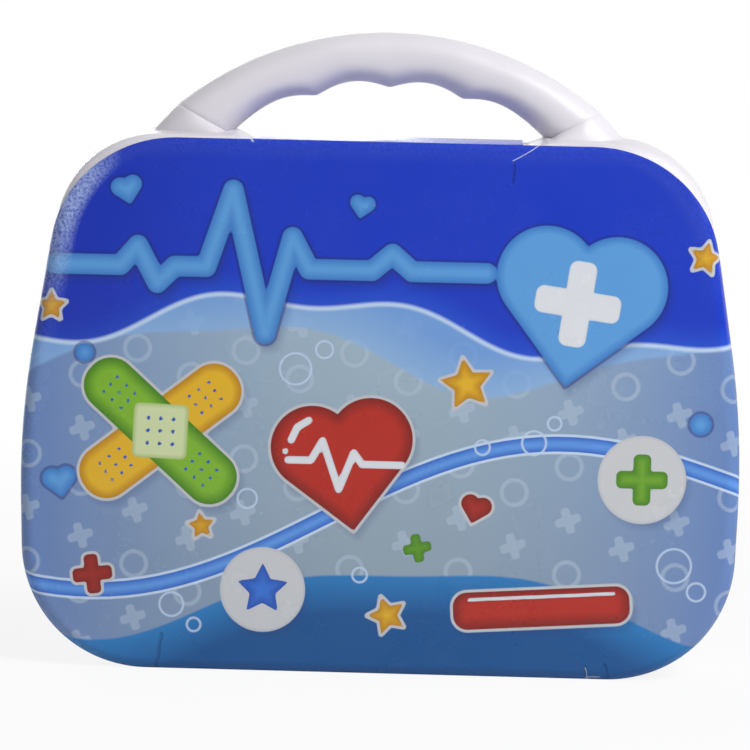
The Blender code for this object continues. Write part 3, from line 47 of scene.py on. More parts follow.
# Sizes are in metres. Pieces that fit into one another are kept apart by the gap.
gap = 0.00015
wall = 0.0022
draft = 0.0010
border_radius = 0.0040
front_depth = 0.0270
back_depth = 0.0278
body_height = 0.190
hinge_height = 0.0027
channel_half_depth = 0.012
rim_bevel = 0.0003
inner_rim_bevel = 0.0002
card_recess = 0.00115
recess_half_width = 0.0790
recess_step = 0.0001
panel_inset = 0.0174
panel_depth = 0.0006

# Corners of an outline are (x, z, radius, steps of its arc), on the right side from the base up.
base_corner = (0.1245, 0.0, 0.045, 26)
side_bow = (0.1272, 0.089, 0.300, 8)
right_side = [(recess_half_width, 0.0, 0.0, 0), (recess_half_width + recess_step, 0.0, 0.0, 0),
              base_corner, side_bow, (0.111, body_height, 0.037, 26)]
top_dip = [(0.0560, body_height, 0.0015, 4), (0.0495, 0.1874, 0.002, 4),
           (-0.0485, 0.1874, 0.002, 4), (-0.0535, body_height, 0.0015, 4)]


def mirrored(corners):
    """The same corners on the left side, in the order that keeps the outline anticlockwise."""
    return [(-x, z, radius, steps) for x, z, radius, steps in reversed(corners)]


outline_corners = right_side + top_dip + mirrored(right_side)


def node(tree, kind, inputs=None, **settings):
    """Add a shader node with its settings. An input is named or numbered and takes a value or a socket."""
    made = tree.nodes.new("ShaderNode" + kind)
    for key, value in settings.items():
        setattr(made, key, value)
    for key, value in (inputs or {}).items():
        if isinstance(value, bpy.types.NodeSocket):
            tree.links.new(value, made.inputs[key])
        else:
            made.inputs[key].default_value = value
    return made


def linear(code):
    """An sRGB hex colour as linear red, green, blue and full opacity."""
    parts = [int(code[start:start + 2], 16) / 255 for start in (1, 3, 5)]
    lit = [part / 12.92 if part < 0.04045 else ((part + 0.055) / 1.055) ** 2.4 for part in parts]
    return tuple(lit) + (1.0,)


def new_material(name):
    """A material of that name, with its tree and its shader."""
    made = bpy.data.materials.new(name)
    made.use_nodes = True
    return made, made.node_tree, made.node_tree.nodes["Principled BSDF"]


def moulded_plastic(name, colour, deep, roughness, grain=0.0004, cloud=0.03, lift=0.08):
    """Injection-moulded plastic: a colour that drifts slightly as the melt cooled, over clouds of that size,
    a fine grain in the gloss, and handling marks that lift its roughness. Deep is a slightly deeper tone of
    the same colour, as a thicker wall shows, and the clouds set where it lies. The grain is drawn as coarse
    as it needs to show."""
    made, tree, shader = new_material(name)
    place = node(tree, "TexCoord").outputs["Object"]
    drift = node(tree, "TexNoise", {"Vector": place, "Scale": 1 / cloud, "Detail": 2.0, "Roughness": 0.5})
    tone = node(tree, "ValToRGB", {"Fac": drift.outputs["Fac"]})
    for stop, position, code in zip(tone.color_ramp.elements, (0.30, 0.70), (deep, colour)):
        stop.position = position
        stop.color = linear(code)
    tree.links.new(tone.outputs["Color"], shader.inputs["Base Color"])
    mark_size = cloud * 0.15
    marks = node(tree, "TexNoise", {"Vector": place, "Scale": 1 / mark_size, "Detail": 4.0, "Roughness": 0.6})
    dull = node(tree, "MapRange", {"Value": marks.outputs["Fac"], "From Min": 0.35, "From Max": 0.75,
                                   "To Min": roughness, "To Max": roughness + lift})
    tree.links.new(dull.outputs["Result"], shader.inputs["Roughness"])
    fine = node(tree, "TexNoise", {"Vector": place, "Scale": 1 / grain, "Detail": 1.0})
    bump = node(tree, "Bump", {"Height": fine.outputs["Fac"], "Strength": 0.05, "Distance": grain * 0.1})
    tree.links.new(bump.outputs["Normal"], shader.inputs["Normal"])
    shader.inputs["IOR"].default_value = 1.49
    return made


def lattice(points, across_closed=False, along_closed=False, capped=False):
    """Vertices and faces of a surface given as an array of points (along, across, 3). Its ends can be capped
    with one flat face each."""
    along, across = points.shape[:2]
    rows = np.arange(along if along_closed else along - 1)[:, None]
    columns = np.arange(across if across_closed else across - 1)[None, :]
    low, high = rows * across, (rows + 1) % along * across
    here, beside = columns, (columns + 1) % across
    faces = np.stack((low + here, low + beside, high + beside, high + here), -1).reshape(-1, 4).tolist()
    if capped:
        faces.append(list(range(across))[::-1])
        faces.append(list(range((along - 1) * across, along * across)))
    return points.reshape(-1, 3), faces


def face_outward(mesh, merged=None):
    """Turn every face of a closed mesh outward, after points nearer than merged are made one."""
    work = bmesh.new()
    work.from_mesh(mesh)
    if merged:
        bmesh.ops.remove_doubles(work, verts=work.verts, dist=merged)
    bmesh.ops.recalc_face_normals(work, faces=work.faces)
    work.to_mesh(mesh)
    work.free()


def make_mesh(name, parts):
    """One mesh from several closed surfaces, with doubles merged at seams and poles."""
    points = np.concatenate([part[0] for part in parts])
    faces, offset = [], 0
    for part_points, part_faces in parts:
        faces += [[index + offset for index in face] for face in part_faces]
        offset += len(part_points)
    mesh = bpy.data.meshes.new(name)
    mesh.from_pydata(points.tolist(), [], faces)
    face_outward(mesh, 1e-7)
    return mesh


def add_piece(name, parts, material, body, cad_node, sharp=32):
    """A finished piece at the origin, which rides on its body and stands for its CAD node. Edges sharper
    than that many degrees stay crisp."""
    mesh = parts if isinstance(parts, bpy.types.Mesh) else make_mesh(name, parts)
    mesh.shade_smooth()
    mesh.set_sharp_from_angle(angle=math.radians(sharp))
    piece = bpy.data.objects.new(name, mesh)
    bpy.context.scene.collection.objects.link(piece)
    mesh.materials.append(material)
    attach(piece, body)
    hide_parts(cad_node)
    return piece


def outline(inset, corners=outline_corners):
    """The case's outline from the front, anticlockwise: straight sides joined by arcs tangent to both, all
    moved inward by inset, so that an arc's radius is its own less the inset, down to a corner, or more where
    the outline turns the other way. Gives points and outward ways."""
    points, outward = [], []
    for index, (x, z, radius, steps) in enumerate(corners):
        here = np.array((x, z))
        into = here - corners[index - 1][:2]
        out_of = np.array(corners[(index + 1) % len(corners)][:2]) - here
        into, out_of = into / np.hypot(*into), out_of / np.hypot(*out_of)
        left_in, left_out = np.array((-into[1], into[0])), np.array((-out_of[1], out_of[0]))
        mitre = (left_in + left_out) / (1 + left_in @ left_out)
        turn = math.atan2(into[0] * out_of[1] - into[1] * out_of[0], into @ out_of)
        angles = math.atan2(left_in[1], left_in[0]) + turn * np.linspace(0, 1, steps + 1)
        ways = np.stack((np.cos(angles), np.sin(angles)), 1)
        bend = max(radius, inset) if turn > 0 else -radius
        arc = here + mitre * bend - (bend - inset) * ways
        points.append(arc if steps else (here + mitre * inset)[None])
        outward.append(-ways)
    return np.concatenate(points), np.concatenate(outward)


def case_rings(side, levels, recess=0.0):
    """Rings of the outline at levels of (depth, inset, drop, lowest height). The drop keeps the drafted base
    level, and the lowest height makes the hinge channel and the recess for the card's lower flap."""
    rings = []
    for depth, inset, drop, lowest in levels:
        flat = outline(inset)[0]
        within = np.abs(flat[:, 0]) < recess_half_width + recess_step / 2
        lift = np.where(within & (depth >= channel_half_depth - 1e-6), recess, 0.0)
        height = np.maximum(flat[:, 1] - drop, np.maximum(lift, lowest))
        rings.append(np.stack((flat[:, 0], np.full(len(flat), side * depth), height), 1))
    return np.array(rings)


def skin_levels(depth, inset, first, floor):
    """Levels of one skin of a shell from the parting plane to its face: a drafted wall, then a quarter round
    whose radius is the border's less the skin's inset."""
    knee = depth - border_radius
    step = channel_half_depth + inset
    lean = draft * (step - gap) / (knee - gap)
    levels = [(gap, inset + first, 0.0, floor), (gap + first, inset, 0.0, floor),
              (step, inset + lean, lean, floor), (step, inset + lean, lean, 0.0),
              (knee, inset + draft, draft, 0.0)]
    radius = border_radius - inset
    for angle in np.linspace(0, math.pi / 2, 11)[1:]:
        inward = inset + draft + radius * (1 - math.cos(angle))
        levels.append((knee + radius * math.sin(angle), inward, draft, 0.0))
    return levels


def turned(profile, steps, at, axis, along_closed=False):
    """A surface of revolution: (distance along the axis, radius) points turned about the axis through at."""
    profile = np.array(profile, float)
    axis = np.array(axis, float)
    side = np.cross(axis, (0.0, 0.0, 1.0) if abs(axis[2]) < 0.9 else (0.0, 1.0, 0.0))
    side /= np.linalg.norm(side)
    other = np.cross(axis, side)
    angles = np.linspace(0, 2 * math.pi, steps, endpoint=False)
    spokes = np.cos(angles)[:, None] * side + np.sin(angles)[:, None] * other
    points = np.array(at) + profile[:, None, :1] * axis + profile[:, None, 1:] * spokes[None]
    return lattice(points, True, along_closed, not along_closed)


handle_height = 0.1069
handle_outer = 0.1183
handle_inner = 0.0990
handle_wall = 0.0020
scallop_depth = 0.0028
scallop_softness = 0.006
scallop_level = 0.0774
scallop_pitch = math.radians(15.2)
crease_angle = math.radians(39.2)
crease_run_out = math.radians(4.0)
run_out_share = 0.7
crease_groove = 0.0004
grip_half_depth = 0.0110
crease_half_depth = 0.0130
grip_square = 0.80
section_points = 25
hollow_sections = 121
solid_shares = (0.9, 0.92, 0.94, 0.96, 0.975, 0.99)


def grip_loop(share, side, hollow):
    """One section of half the grip, at a share of the way from its top to its crease. Outside it is half a
    superellipse of power 2 / grip_square between the arch's outer edge and its scalloped inner edge, and
    inside the same moved in by the wall. The scallops follow the sine's size along the grip, softened where
    it passes through nought."""
    wave = math.sin(2 * math.pi * share)
    scallop = scallop_depth * (math.sqrt(wave ** 2 + scallop_softness) - scallop_level)
    depth = grip_half_depth + (crease_half_depth - grip_half_depth) * share * share
    past = max(0.0, (abs(share) - run_out_share) / (1 - run_out_share))
    turn = 2 * scallop_pitch * share + math.copysign(crease_run_out * past ** 2, share)
    angles = np.linspace(0, math.pi, section_points)
    loop = []
    for inset, route in ((0.0, angles), (handle_wall, angles[::-1])):
        inner_radius, outer_radius = handle_inner + scallop + inset, handle_outer - inset
        inner = inner_radius * np.array((math.sin(turn), math.cos(turn)))
        outer = outer_radius * np.array((math.sin(crease_angle * share), math.cos(crease_angle * share)))
        across = np.copysign(np.abs(np.cos(route)) ** grip_square, np.cos(route))
        middle = (outer + inner) / 2 + (outer - inner) / 2 * across[:, None]
        reach = (depth - inset) * np.abs(np.sin(route)) ** grip_square
        reach *= 1.0 if inset == 0.0 or hollow else 0.0
        loop.append(np.stack((middle[:, 0], side * (gap + reach), middle[:, 1] + handle_height), 1))
    return np.concatenate(loop)


foot_inner = (0.0535, 0.1868)
foot_outer = (0.0862, 0.1860)
foot_outer_depth = 0.0120
foot_inner_depth = 0.0185
foot_square = 0.4
foot_curve = 3.5
foot_flare = 0.0016
flare_share = 0.72
foot_downs = [0.0, 0.02] + np.linspace(0.07, 1, 18).tolist()
inside_step = 0.0005


def foot_loops(side, end):
    """Sections from the crease, a fine groove, down into the shoulder: flat-faced, wider towards the finger
    gap, and flared over the last part into the shoulder as a moulded fillet."""
    crease = grip_loop(end, side, False)
    angles = np.linspace(0, math.pi, section_points)
    share = (1 - np.cos(angles)) / 2
    bulge = np.abs(np.sin(angles)) ** foot_square
    inner, outer = np.array(foot_inner) * (end, 1), np.array(foot_outer) * (end, 1)
    middle = outer + (inner - outer) * share[:, None]
    reach = (foot_outer_depth + (foot_inner_depth - foot_outer_depth) * share) * bulge
    reach[[0, -1]] = 0.0
    base = np.stack((middle[:, 0], side * (gap + reach), middle[:, 1]), 1)
    inside = base[::-1] * (1, 0, 1) + np.array((0, side * gap, 0))
    base = np.concatenate((base, inside))
    away = np.concatenate((np.cos(angles), np.cos(angles[::-1])))
    loops = []
    for down in foot_downs:
        spread = 1 - (1 - down) ** foot_curve
        loop = crease + (base - crease) * np.array((down, spread, down))
        flare = foot_flare * max(0.0, (down - flare_share) / (1 - flare_share)) ** 2
        loop[:, 0] += end * flare * away
        loop[:section_points, 1] += side * flare * bulge
        loop[section_points:, 1] += side * inside_step * down * down
        if down == 0.0:
            skin = loop[:section_points, 1]
            skin -= side * np.minimum(crease_groove, np.abs(skin) - gap)
        loops.append(loop)
    return loops


def handle_half(side):
    """Half of the handle: feet, and between them the grip, hollow from just inside the creases."""
    right = [grip_loop(share, side, False) for share in solid_shares]
    left = [grip_loop(-share, side, False) for share in reversed(solid_shares)]
    between = np.linspace(-solid_shares[0], solid_shares[0], hollow_sections)
    hollow = [grip_loop(share, side, True) for share in between]
    loops = foot_loops(side, -1)[::-1] + left + hollow + right + foot_loops(side, 1)
    return lattice(np.array(loops), True, False, True)


snap_angle = math.radians(14)
peg_profile = [(-0.0095, 0.0030), (-0.0030, 0.0026), (-0.0028, 0.0018), (0.0034, 0.0018), (0.0040, 0.0013)]
socket_profile = [(gap, 0.0022), (gap, 0.0034), (0.0004, 0.0035), (0.0095, 0.0035), (0.0095, 0.0021),
                  (0.0004, 0.0021)]


def snap_pegs(side):
    """Pegs on the lid's half of the handle, and the sleeves that take them in the back's half."""
    radius = (handle_inner + handle_outer + scallop_depth) / 2
    profile = peg_profile if side < 0 else socket_profile
    parts = []
    for end in (-1, 1):
        at = (end * radius * math.sin(snap_angle), 0.0, handle_height + radius * math.cos(snap_angle))
        parts.append(turned(profile, 32, at, (0, 1, 0), side > 0))
    return parts


def box(low, high):
    """A plain box between two corners, used to cut notches."""
    flat = np.array(((low[0], low[1]), (high[0], low[1]), (high[0], high[1]), (low[0], high[1])))
    levels = np.array((low[2], high[2]))[:, None, None] * np.ones((2, 4, 1))
    return lattice(np.concatenate((np.array((flat, flat)), levels), 2), True, False, True)


def carve(mesh, parts, operation="DIFFERENCE"):
    """A mesh with parts cut out of it, or joined to it, one after the other."""
    for part in parts:
        host = bpy.data.objects.new("host", mesh)
        tool = bpy.data.objects.new("tool", make_mesh("tool", [part]))
        for made in (host, tool):
            bpy.context.scene.collection.objects.link(made)
        change = host.modifiers.new("carve", "BOOLEAN")
        change.operation, change.solver, change.object = operation, "EXACT", tool
        bpy.context.view_layer.update()
        mesh = bpy.data.meshes.new_from_object(host.evaluated_get(bpy.context.evaluated_depsgraph_get()))
        for made in (host, tool):
            bpy.data.objects.remove(made)
    return mesh


def mesh_points(mesh):
    """A mesh's vertices as an array."""
    points = np.empty(len(mesh.vertices) * 3)
    mesh.vertices.foreach_get("co", points)
    return points.reshape(-1, 3)


def mesh_part(mesh):
    """A mesh as vertices and faces, to be joined with others."""
    return mesh_points(mesh), [list(polygon.vertices) for polygon in mesh.polygons]


knuckle_place = 0.052
knuckle_half = 0.0040
knuckle_radius = 0.0024
knuckle_bevel = 0.0003
knuckle_clearance = 0.0004
pin_bore = 0.0013
overcut = 0.001


def knuckle_rows(side):
    """Centres of the hinge knuckles that a shell carries: the outer two of each row on the back, the middle
    one on the lid."""
    pitch = 2 * knuckle_half + knuckle_clearance
    return [end * knuckle_place + row * pitch for end in (-1, 1) for row in ((0,) if side < 0 else (-1, 1))]


lip_section = [(-0.0015, 0.0026), (-0.0013, 0.0025), (0.0003, 0.0025), (0.0003, 0.0012), (0.0030, 0.0012),
               (0.0042, 0.0037), (-0.0012, 0.0037), (-0.0015, 0.0035)]
lip_inset = 0.0025
lip_start = 0.0089


def rim_lip():
    """The back's inner lip: a section of (depth, inset) points carried along the outline above the hinge."""
    keep = np.flatnonzero(outline(lip_inset)[0][:, 1] > lip_start)
    rings = []
    for depth, inset in lip_section:
        flat = outline(inset)[0][keep]
        rings.append(np.stack((flat[:, 0], np.full(len(flat), depth), flat[:, 1]), 1))
    return lattice(np.array(rings).transpose(1, 0, 2), True, False, True)


def shell_mesh(side, depth):
    """One shell: its skins joined round the rim, notched where the other shell's knuckles turn, with its own
    knuckles, its half of the handle and, on the back, the lip that guides the rim."""
    recess = card_recess if side < 0 else 0.0
    outer = case_rings(side, skin_levels(depth, 0.0, rim_bevel, hinge_height), recess)
    inner = case_rings(side, skin_levels(depth, wall, inner_rim_bevel, hinge_height + wall))
    layers = [inner[::-1], outer]
    if side > 0:
        sunk = [(depth - panel_depth * share, panel_inset + 2 * panel_depth * share, 0.0, 0.0)
                for share in (0, 0.5, 1)]
        layers.append(case_rings(side, sunk))
    body = make_mesh("shell_body", [lattice(np.concatenate(layers), True, False, True)])
    half, reach = knuckle_half + knuckle_clearance, knuckle_radius + knuckle_clearance
    near, far = sorted((-side * overcut, side * reach))
    notches = [box((centre - half, near, -overcut), (centre + half, far, hinge_height + reach + 2 * overcut))
               for centre in knuckle_rows(-side)]
    parts = [mesh_part(carve(body, notches)), handle_half(side)] + snap_pegs(side)
    end, crown = knuckle_half, knuckle_radius - knuckle_bevel
    knuckle = [(knuckle_bevel - end, knuckle_radius), (end - knuckle_bevel, knuckle_radius), (end, crown),
               (end, pin_bore), (-end, pin_bore), (-end, crown)]
    parts += [turned(knuckle, 40, (centre, 0, hinge_height), (1, 0, 0), True)
              for centre in knuckle_rows(side)]
    if side > 0:
        parts.append(rim_lip())
    return make_mesh("shell", parts)


# Polypropylene is slightly translucent. Light that enters it softens the shade, and it leans to lilac.
shell_white = moulded_plastic("white_polypropylene_moulded", "#e2dfe5", "#dfdbe2", 0.34)
shell_shader = shell_white.node_tree.nodes["Principled BSDF"]
shell_shader.inputs["Subsurface Weight"].default_value = 0.12
shell_shader.inputs["Subsurface Radius"].default_value = (0.0030, 0.0028, 0.0032)
shell_shader.inputs["Subsurface Scale"].default_value = 1.0
crease_tolerance = 2e-6


def mark_crease(mesh):
    """Sharpen the edges of the two creases where the grip ends: those in the plane of a crease's section."""
    points = mesh_points(mesh)
    section = grip_loop(1.0, -1, False)
    outer, inner = section[0, [0, 2]], section[section_points - 1, [0, 2]]
    across = np.array((inner[1] - outer[1], outer[0] - inner[0])) / np.hypot(*(outer - inner))
    off = (np.abs(points[:, 0]) - outer[0]) * across[0] + (points[:, 2] - outer[1]) * across[1]
    near = (np.abs(off) < crease_tolerance) & (points[:, 2] > body_height - border_radius)
    edges = np.empty(len(mesh.edges) * 2, np.int32)
    mesh.edges.foreach_get("vertices", edges)
    edges = edges.reshape(-1, 2)
    sharp = mesh.attributes["sharp_edge"]
    values = np.empty(len(mesh.edges), bool)
    sharp.data.foreach_get("value", values)
    sharp.data.foreach_set("value", values | (near[edges[:, 0]] & near[edges[:, 1]]))


for piece_name, side, depth, body, cad_node in (("lid_shell", -1, front_depth, "lid", "front_shell"),
                                                ("back_shell", 1, back_depth, "base", "rear_shell")):
    shell = add_piece(piece_name, shell_mesh(side, depth), shell_white, body, cad_node)
    mark_crease(shell.data)

# Printed card. One piece of 0.5 mm coated board lies flat on the lid, bends back round its border at the
# sides, and is folded over the top edge between the handle's feet and under the base. It is printed in
# several inks and laminated with a glossy film, which is scuffed and whitened where the board is bent.
# Round the left shoulder that whitening is partly a painted highlight, and the pressed folds carry painted
# shade.
card_thickness = 0.0005
card_gap = 0.0003
card_inset = draft + border_radius
card_knee = front_depth - border_radius
inner_radius = border_radius + card_gap
outer_radius = inner_radius + card_thickness
card_side = [base_corner, side_bow, (0.111, body_height, 0.045, 26)]
card_corners = card_side + mirrored(card_side)
wrap_heights = (0.0, 0.0225, 0.145, body_height)
wrap_shares = (0.5236, 0.9, 0.9, 0.35)
ripple_height = 0.00020
ripple_margin = 0.012
card_rows = 236
card_columns = 250
wrap_steps = 8


def card_face():
    """The card's flat face as a grid over (row, share across): a row's ends lie on the outline, rows are even
    along the outline's side, and x is the share times the row's half width."""
    points, outward = outline(card_inset, card_corners)
    side, ways = points[:len(points) // 2], outward[:len(points) // 2]
    length = np.concatenate(([0], np.cumsum(np.hypot(*np.diff(side, axis=0).T))))
    along = np.linspace(0, length[-1], card_rows)
    half, height = np.interp(along, length, side[:, 0]), np.interp(along, length, side[:, 1])
    ways = np.stack((np.interp(along, length, ways[:, 0]), np.interp(along, length, ways[:, 1])), 1)
    ways /= np.hypot(*ways.T)[:, None]
    share = np.linspace(-1, 1, card_columns)
    return half[:, None] * share[None], np.repeat(height[:, None], card_columns, 1), ways


def shell_beyond(edge, way):
    """How far the lid's flat face runs on beyond the card's edge: the least positive distance at which a ray
    outward from the edge meets the lid's outline, found for all rays and outline pieces at once."""
    shape = outline(card_inset)[0]
    leg = np.roll(shape, -1, 0) - shape
    offset = shape[None] - edge[:, None]
    cross = way[:, None, 0] * leg[None, :, 1] - way[:, None, 1] * leg[None, :, 0]
    cross = np.where(np.abs(cross) < 1e-12, 1e-12, cross)
    far = (offset[..., 0] * leg[None, :, 1] - offset[..., 1] * leg[None, :, 0]) / cross
    at = (offset[..., 0] * way[:, None, 1] - offset[..., 1] * way[:, None, 0]) / cross
    hit = (at >= 0) & (at <= 1) & (far >= 0) & (far < 0.006)
    return np.where(hit, far, 1.0).min(1) * hit.any(1)


def rim_walk():
    """Rows and columns of the face's rim, once round from its lower left corner, anticlockwise."""
    rows, columns = np.arange(card_rows - 1), np.arange(card_columns - 1)
    top, right = card_rows - 1, card_columns - 1
    return (np.concatenate((0 * columns, rows, 0 * columns + top, top - rows)),
            np.concatenate((columns, 0 * rows + right, right - columns, 0 * rows)))


def card_wrap(edge, way):
    """The bend round the lid's border: rings of the board's printed skin out to its edge and of its back in
    again, each at a share of a quarter turn that follows the height. Gives each ring's points and its places
    on the flat sheet."""
    share = np.interp(edge[:, 1], wrap_heights, wrap_shares)
    beyond = np.where(way[:, 1] > 0, shell_beyond(edge, way), 0.0)
    steps = [(outer_radius, step / wrap_steps) for step in range(1, wrap_steps + 1)]
    steps += [(inner_radius, step / wrap_steps) for step in range(wrap_steps, -1, -1)]
    rings, places = [], []
    for radius, part in steps:
        reach = radius * np.cos(math.pi / 2 * (1 - share * part))
        flat = edge + way * reach[:, None]
        fall = np.sqrt(radius ** 2 - np.maximum(reach - beyond, 0) ** 2)
        rings.append(np.stack((flat[:, 0], -(card_knee + fall), flat[:, 1] - draft), 1))
        places.append(edge + way * (radius * math.pi / 2 * share * part)[:, None])
    return rings, places


def flap_route(share, centre, up, rest):
    """A flap's route in (y, z): the last of the bend, about a centre's height, and then the flap's own
    points."""
    start = math.pi / 2 * (1 - share)
    bend = [(-card_knee - outer_radius * math.sin(angle), centre + up * outer_radius * math.cos(angle))
            for angle in (start, start * 0.97)]
    return bend + rest


def flap(route, half_width, columns):
    """A flap: a route of (y, z) points carried across the card, with the board's thickness to its inside."""
    route = np.array(route)
    lean = np.gradient(route, axis=0)
    inward = np.stack((lean[:, 1], -lean[:, 0]), 1) / np.hypot(*lean.T)[:, None]
    loop = np.concatenate((route, (route + inward * card_thickness)[::-1]))
    points = np.empty((columns, len(loop), 3))
    points[:, :, 0] = np.linspace(-half_width, half_width, columns)[:, None]
    points[:, :, 1:] = loop[None]
    run = np.concatenate(([0], np.cumsum(np.hypot(*np.diff(route, axis=0).T))))
    return points, np.concatenate((run, run[::-1]))


top_rest = [(-0.0262, 0.18690), (-0.0254, 0.18705), (-0.012, 0.1877), (-0.0021, 0.1883)]
base_rest = [(-0.0230, 0.00036), (-0.0130, 0.00036)]
top_route = flap_route(wrap_shares[-1], 0.184, 1, top_rest)
base_route = flap_route(wrap_shares[0], 0.004, -1, base_rest)[::-1]
top_flap_half_width = 0.0475
base_flap_half_width = 0.078
flap_columns = 60
flap_offset = 0.0025


def card_parts():
    """Vertices of the card and its flaps, the faces, each vertex's place on the flat printed sheet in
    millimetres, and how many faces at the end are bare board."""
    x, z, ways = card_face()
    ripple = 0.5 + 0.25 * (np.sin(x * 47 + z * 19 + 0.6) + np.sin(z * 61 - x * 23 + 2.1) * np.cos(x * 31))
    rim = np.minimum(np.minimum(z - z.min(), z.max() - z), np.abs(x[:, -1:]) - np.abs(x))
    sag = ripple_height * ripple * np.clip(rim / ripple_margin, 0, 1)
    face = np.stack((x, sag - card_knee - outer_radius, z - draft), -1)
    rows, columns = rim_walk()
    edge = np.stack((x, z), -1)[rows, columns]
    count = len(rows)
    way = np.full((count, 2), (0.0, 1.0))
    way[:card_columns - 1] = (0, -1)
    right, left = columns == card_columns - 1, columns == 0
    way[right] = ways[rows[right]]
    way[left] = ways[rows[left]] * (-1, 1)
    rings, places = card_wrap(edge, way)

    faces = lattice(face)[1]
    bare = []
    first = rows * card_columns + columns
    for number in range(len(rings)):
        second = card_rows * card_columns + number * count + np.arange(count)
        band = np.stack((first, second, np.roll(second, -1), np.roll(first, -1)), 1).tolist()
        (faces if number < wrap_steps else bare).extend(band)
        first = second
    bare.append(first[::-1].tolist())

    points = [face.reshape(-1, 3)] + rings
    flat = [np.stack((x, z), -1).reshape(-1, 2)] + places
    for route, half_width, base, sign in ((top_route, top_flap_half_width, z.max(), 1),
                                          (base_route, base_flap_half_width, z.min(), -1)):
        part, run = flap(route, half_width, flap_columns)
        run = run if sign > 0 else run.max() - run
        offset = sum(len(block) for block in points)
        block, quads = lattice(part, True, False, True)
        half = len(route)
        for number, quad in enumerate(quads):
            printed = number < (flap_columns - 1) * 2 * half and number % (2 * half) < half - 1
            (faces if printed else bare).append([index + offset for index in quad])
        points.append(block)
        spread = np.repeat(part[:, :1, 0], 2 * half, 1)
        height = base + sign * (flap_offset + run)[None] * np.ones_like(spread)
        flat.append(np.stack((spread, height), -1).reshape(-1, 2))
    return np.concatenate(points), faces + bare, len(bare), np.concatenate(flat) * 1000


def local(place, at, turn=0.0):
    """Places on the sheet seen from a motif's own centre and turn, in degrees."""
    angle = math.radians(turn)
    offset = place - np.array(at)
    return np.stack((offset[:, 0] * math.cos(angle) + offset[:, 1] * math.sin(angle),
                     offset[:, 1] * math.cos(angle) - offset[:, 0] * math.sin(angle)), 1)


def disc(place, at, radius):
    """Signed distance to a round spot: distance to its centre less its radius."""
    return np.hypot(*(place - np.array(at)).T) - radius


def bar(place, at, half, round_off, turn=0.0):
    """Signed distance to a rounded rectangle: distance outside a smaller one, less the rounding."""
    over = np.abs(local(place, at, turn)) - (np.array(half) - round_off)
    return np.hypot(*np.maximum(over, 0).T) + np.minimum(over.max(1), 0) - round_off


def plus_sign(place, at, half, arm, turn=0.0):
    """Signed distance to a plus sign: the nearer of two crossed bars."""
    across = bar(place, at, (half, arm), arm * 0.6, turn)
    upright = bar(place, at, (arm, half), arm * 0.6, turn)
    return np.minimum(across, upright)


def heart(place, at, width, turn=0.0):
    """Signed distance to a heart: two round lobes over a square corner, mirrored about the middle."""
    scale = width / 1.207
    p = local(place, at, turn) / scale + (0.0, 0.55)
    x, y = np.abs(p[:, 0]), p[:, 1]
    lobe = np.hypot(x - 0.25, y - 0.75) - math.sqrt(2) / 4
    foot = 0.5 * np.maximum(x + y, 0)
    tip = np.sqrt(np.minimum(x ** 2 + (y - 1) ** 2, (x - foot) ** 2 + (y - foot) ** 2)) * np.sign(x - y)
    return np.where(x + y > 1, lobe, tip) * scale


def star(place, at, radius, turn=0.0, points=5, sharpness=2.9):
    """Signed distance to a star: one ray's edge, folded round by the angle about the centre."""
    p = local(place, at, turn)
    slice_angle, edge_angle = math.pi / points, math.pi / sharpness
    angle = np.mod(np.arctan2(p[:, 0], p[:, 1]), 2 * slice_angle) - slice_angle
    length = np.hypot(*p.T)
    x = length * np.cos(angle) - radius * math.cos(slice_angle)
    y = length * np.abs(np.sin(angle)) - radius * math.sin(slice_angle)
    ex, ey = math.cos(edge_angle), math.sin(edge_angle)
    slide = np.clip(-(x * ex + y * ey), 0, radius * math.sin(slice_angle) / ey)
    x, y = x + ex * slide, y + ey * slide
    return np.hypot(x, y) * np.sign(x)


def stroke(place, stops, half_width):
    """Signed distance to a pen stroke through the stops: distance to the nearest leg less half its width."""
    nearest = np.full(len(place), 1e9)
    stops = np.array(stops, float)
    for first, second in zip(stops, stops[1:]):
        leg = second - first
        t = np.clip(((place - first) @ leg) / (leg @ leg), 0, 1)
        nearest = np.minimum(nearest, np.hypot(*(place - first - t[:, None] * leg).T))
    return nearest - half_width


def wave_edge(place, level, swells):
    """Signed distance below a level line with swells of (height, length, phase), allowing for its slope."""
    line, slope = level, 0.0
    for high, length, phase in swells:
        turn = 2 * math.pi * place[:, 0] / length + phase
        line = line + high * np.sin(turn)
        slope = slope + high * 2 * math.pi / length * np.cos(turn)
    return (line - place[:, 1]) / np.sqrt(1 + slope ** 2)


def drawn(place, motifs):
    """Signed distance to the nearest of several motifs, each a shape and what it takes after the place."""
    return np.minimum.reduce([shape(place, *values) for shape, *values in motifs])


# The motifs, in millimetres on the flat sheet from the middle of its base.
royal_swells = ((9.0, 210.0, 2.5), (3.5, 74.0, 0.6))
haze_swells = ((11.0, 190.0, 3.3), (3.0, 88.0, 2.6))
sea_swells = ((13.0, 250.0, 1.2), (3.0, 105.0, 4.0))
ribbon_line = [(x, 58 + 20 * math.sin(x / 46 + 0.4) + x * 0.10) for x in range(-136, 137, 6)]
beat = [(-116, 143), (-92, 143), (-86, 150), (-79, 137), (-73, 143), (-62, 143), (-53, 170), (-41, 120),
        (-32, 154), (-26, 143), (-4, 143), (3, 149), (10, 143), (36, 143)]
large_sky = [(stroke, beat, 3.6), (heart, (68, 131), 60, -8)]
small_sky = [(disc, (-104, 112), 3.2), (disc, (112, 92), 3.8), (heart, (-90, 169), 11, 14),
             (heart, (-8, 165), 9, -10), (heart, (-112, 66), 12, 10)]
large_red = [(heart, (-12, 74), 50, 9), (bar, (58, 26), (31, 6.6), 5.0, 4.0)]
small_red = [(heart, (34, 60), 11, -14), (plus_sign, (-100, 34), 7.0, 2.5, 8)]
plaster_at = (-77, 85)
strap_turns = (38.0, -42.0)
pad_turn = -2.0
straps = [(bar, plaster_at, (33, 9.5), 9.0, turn) for turn in strap_turns]
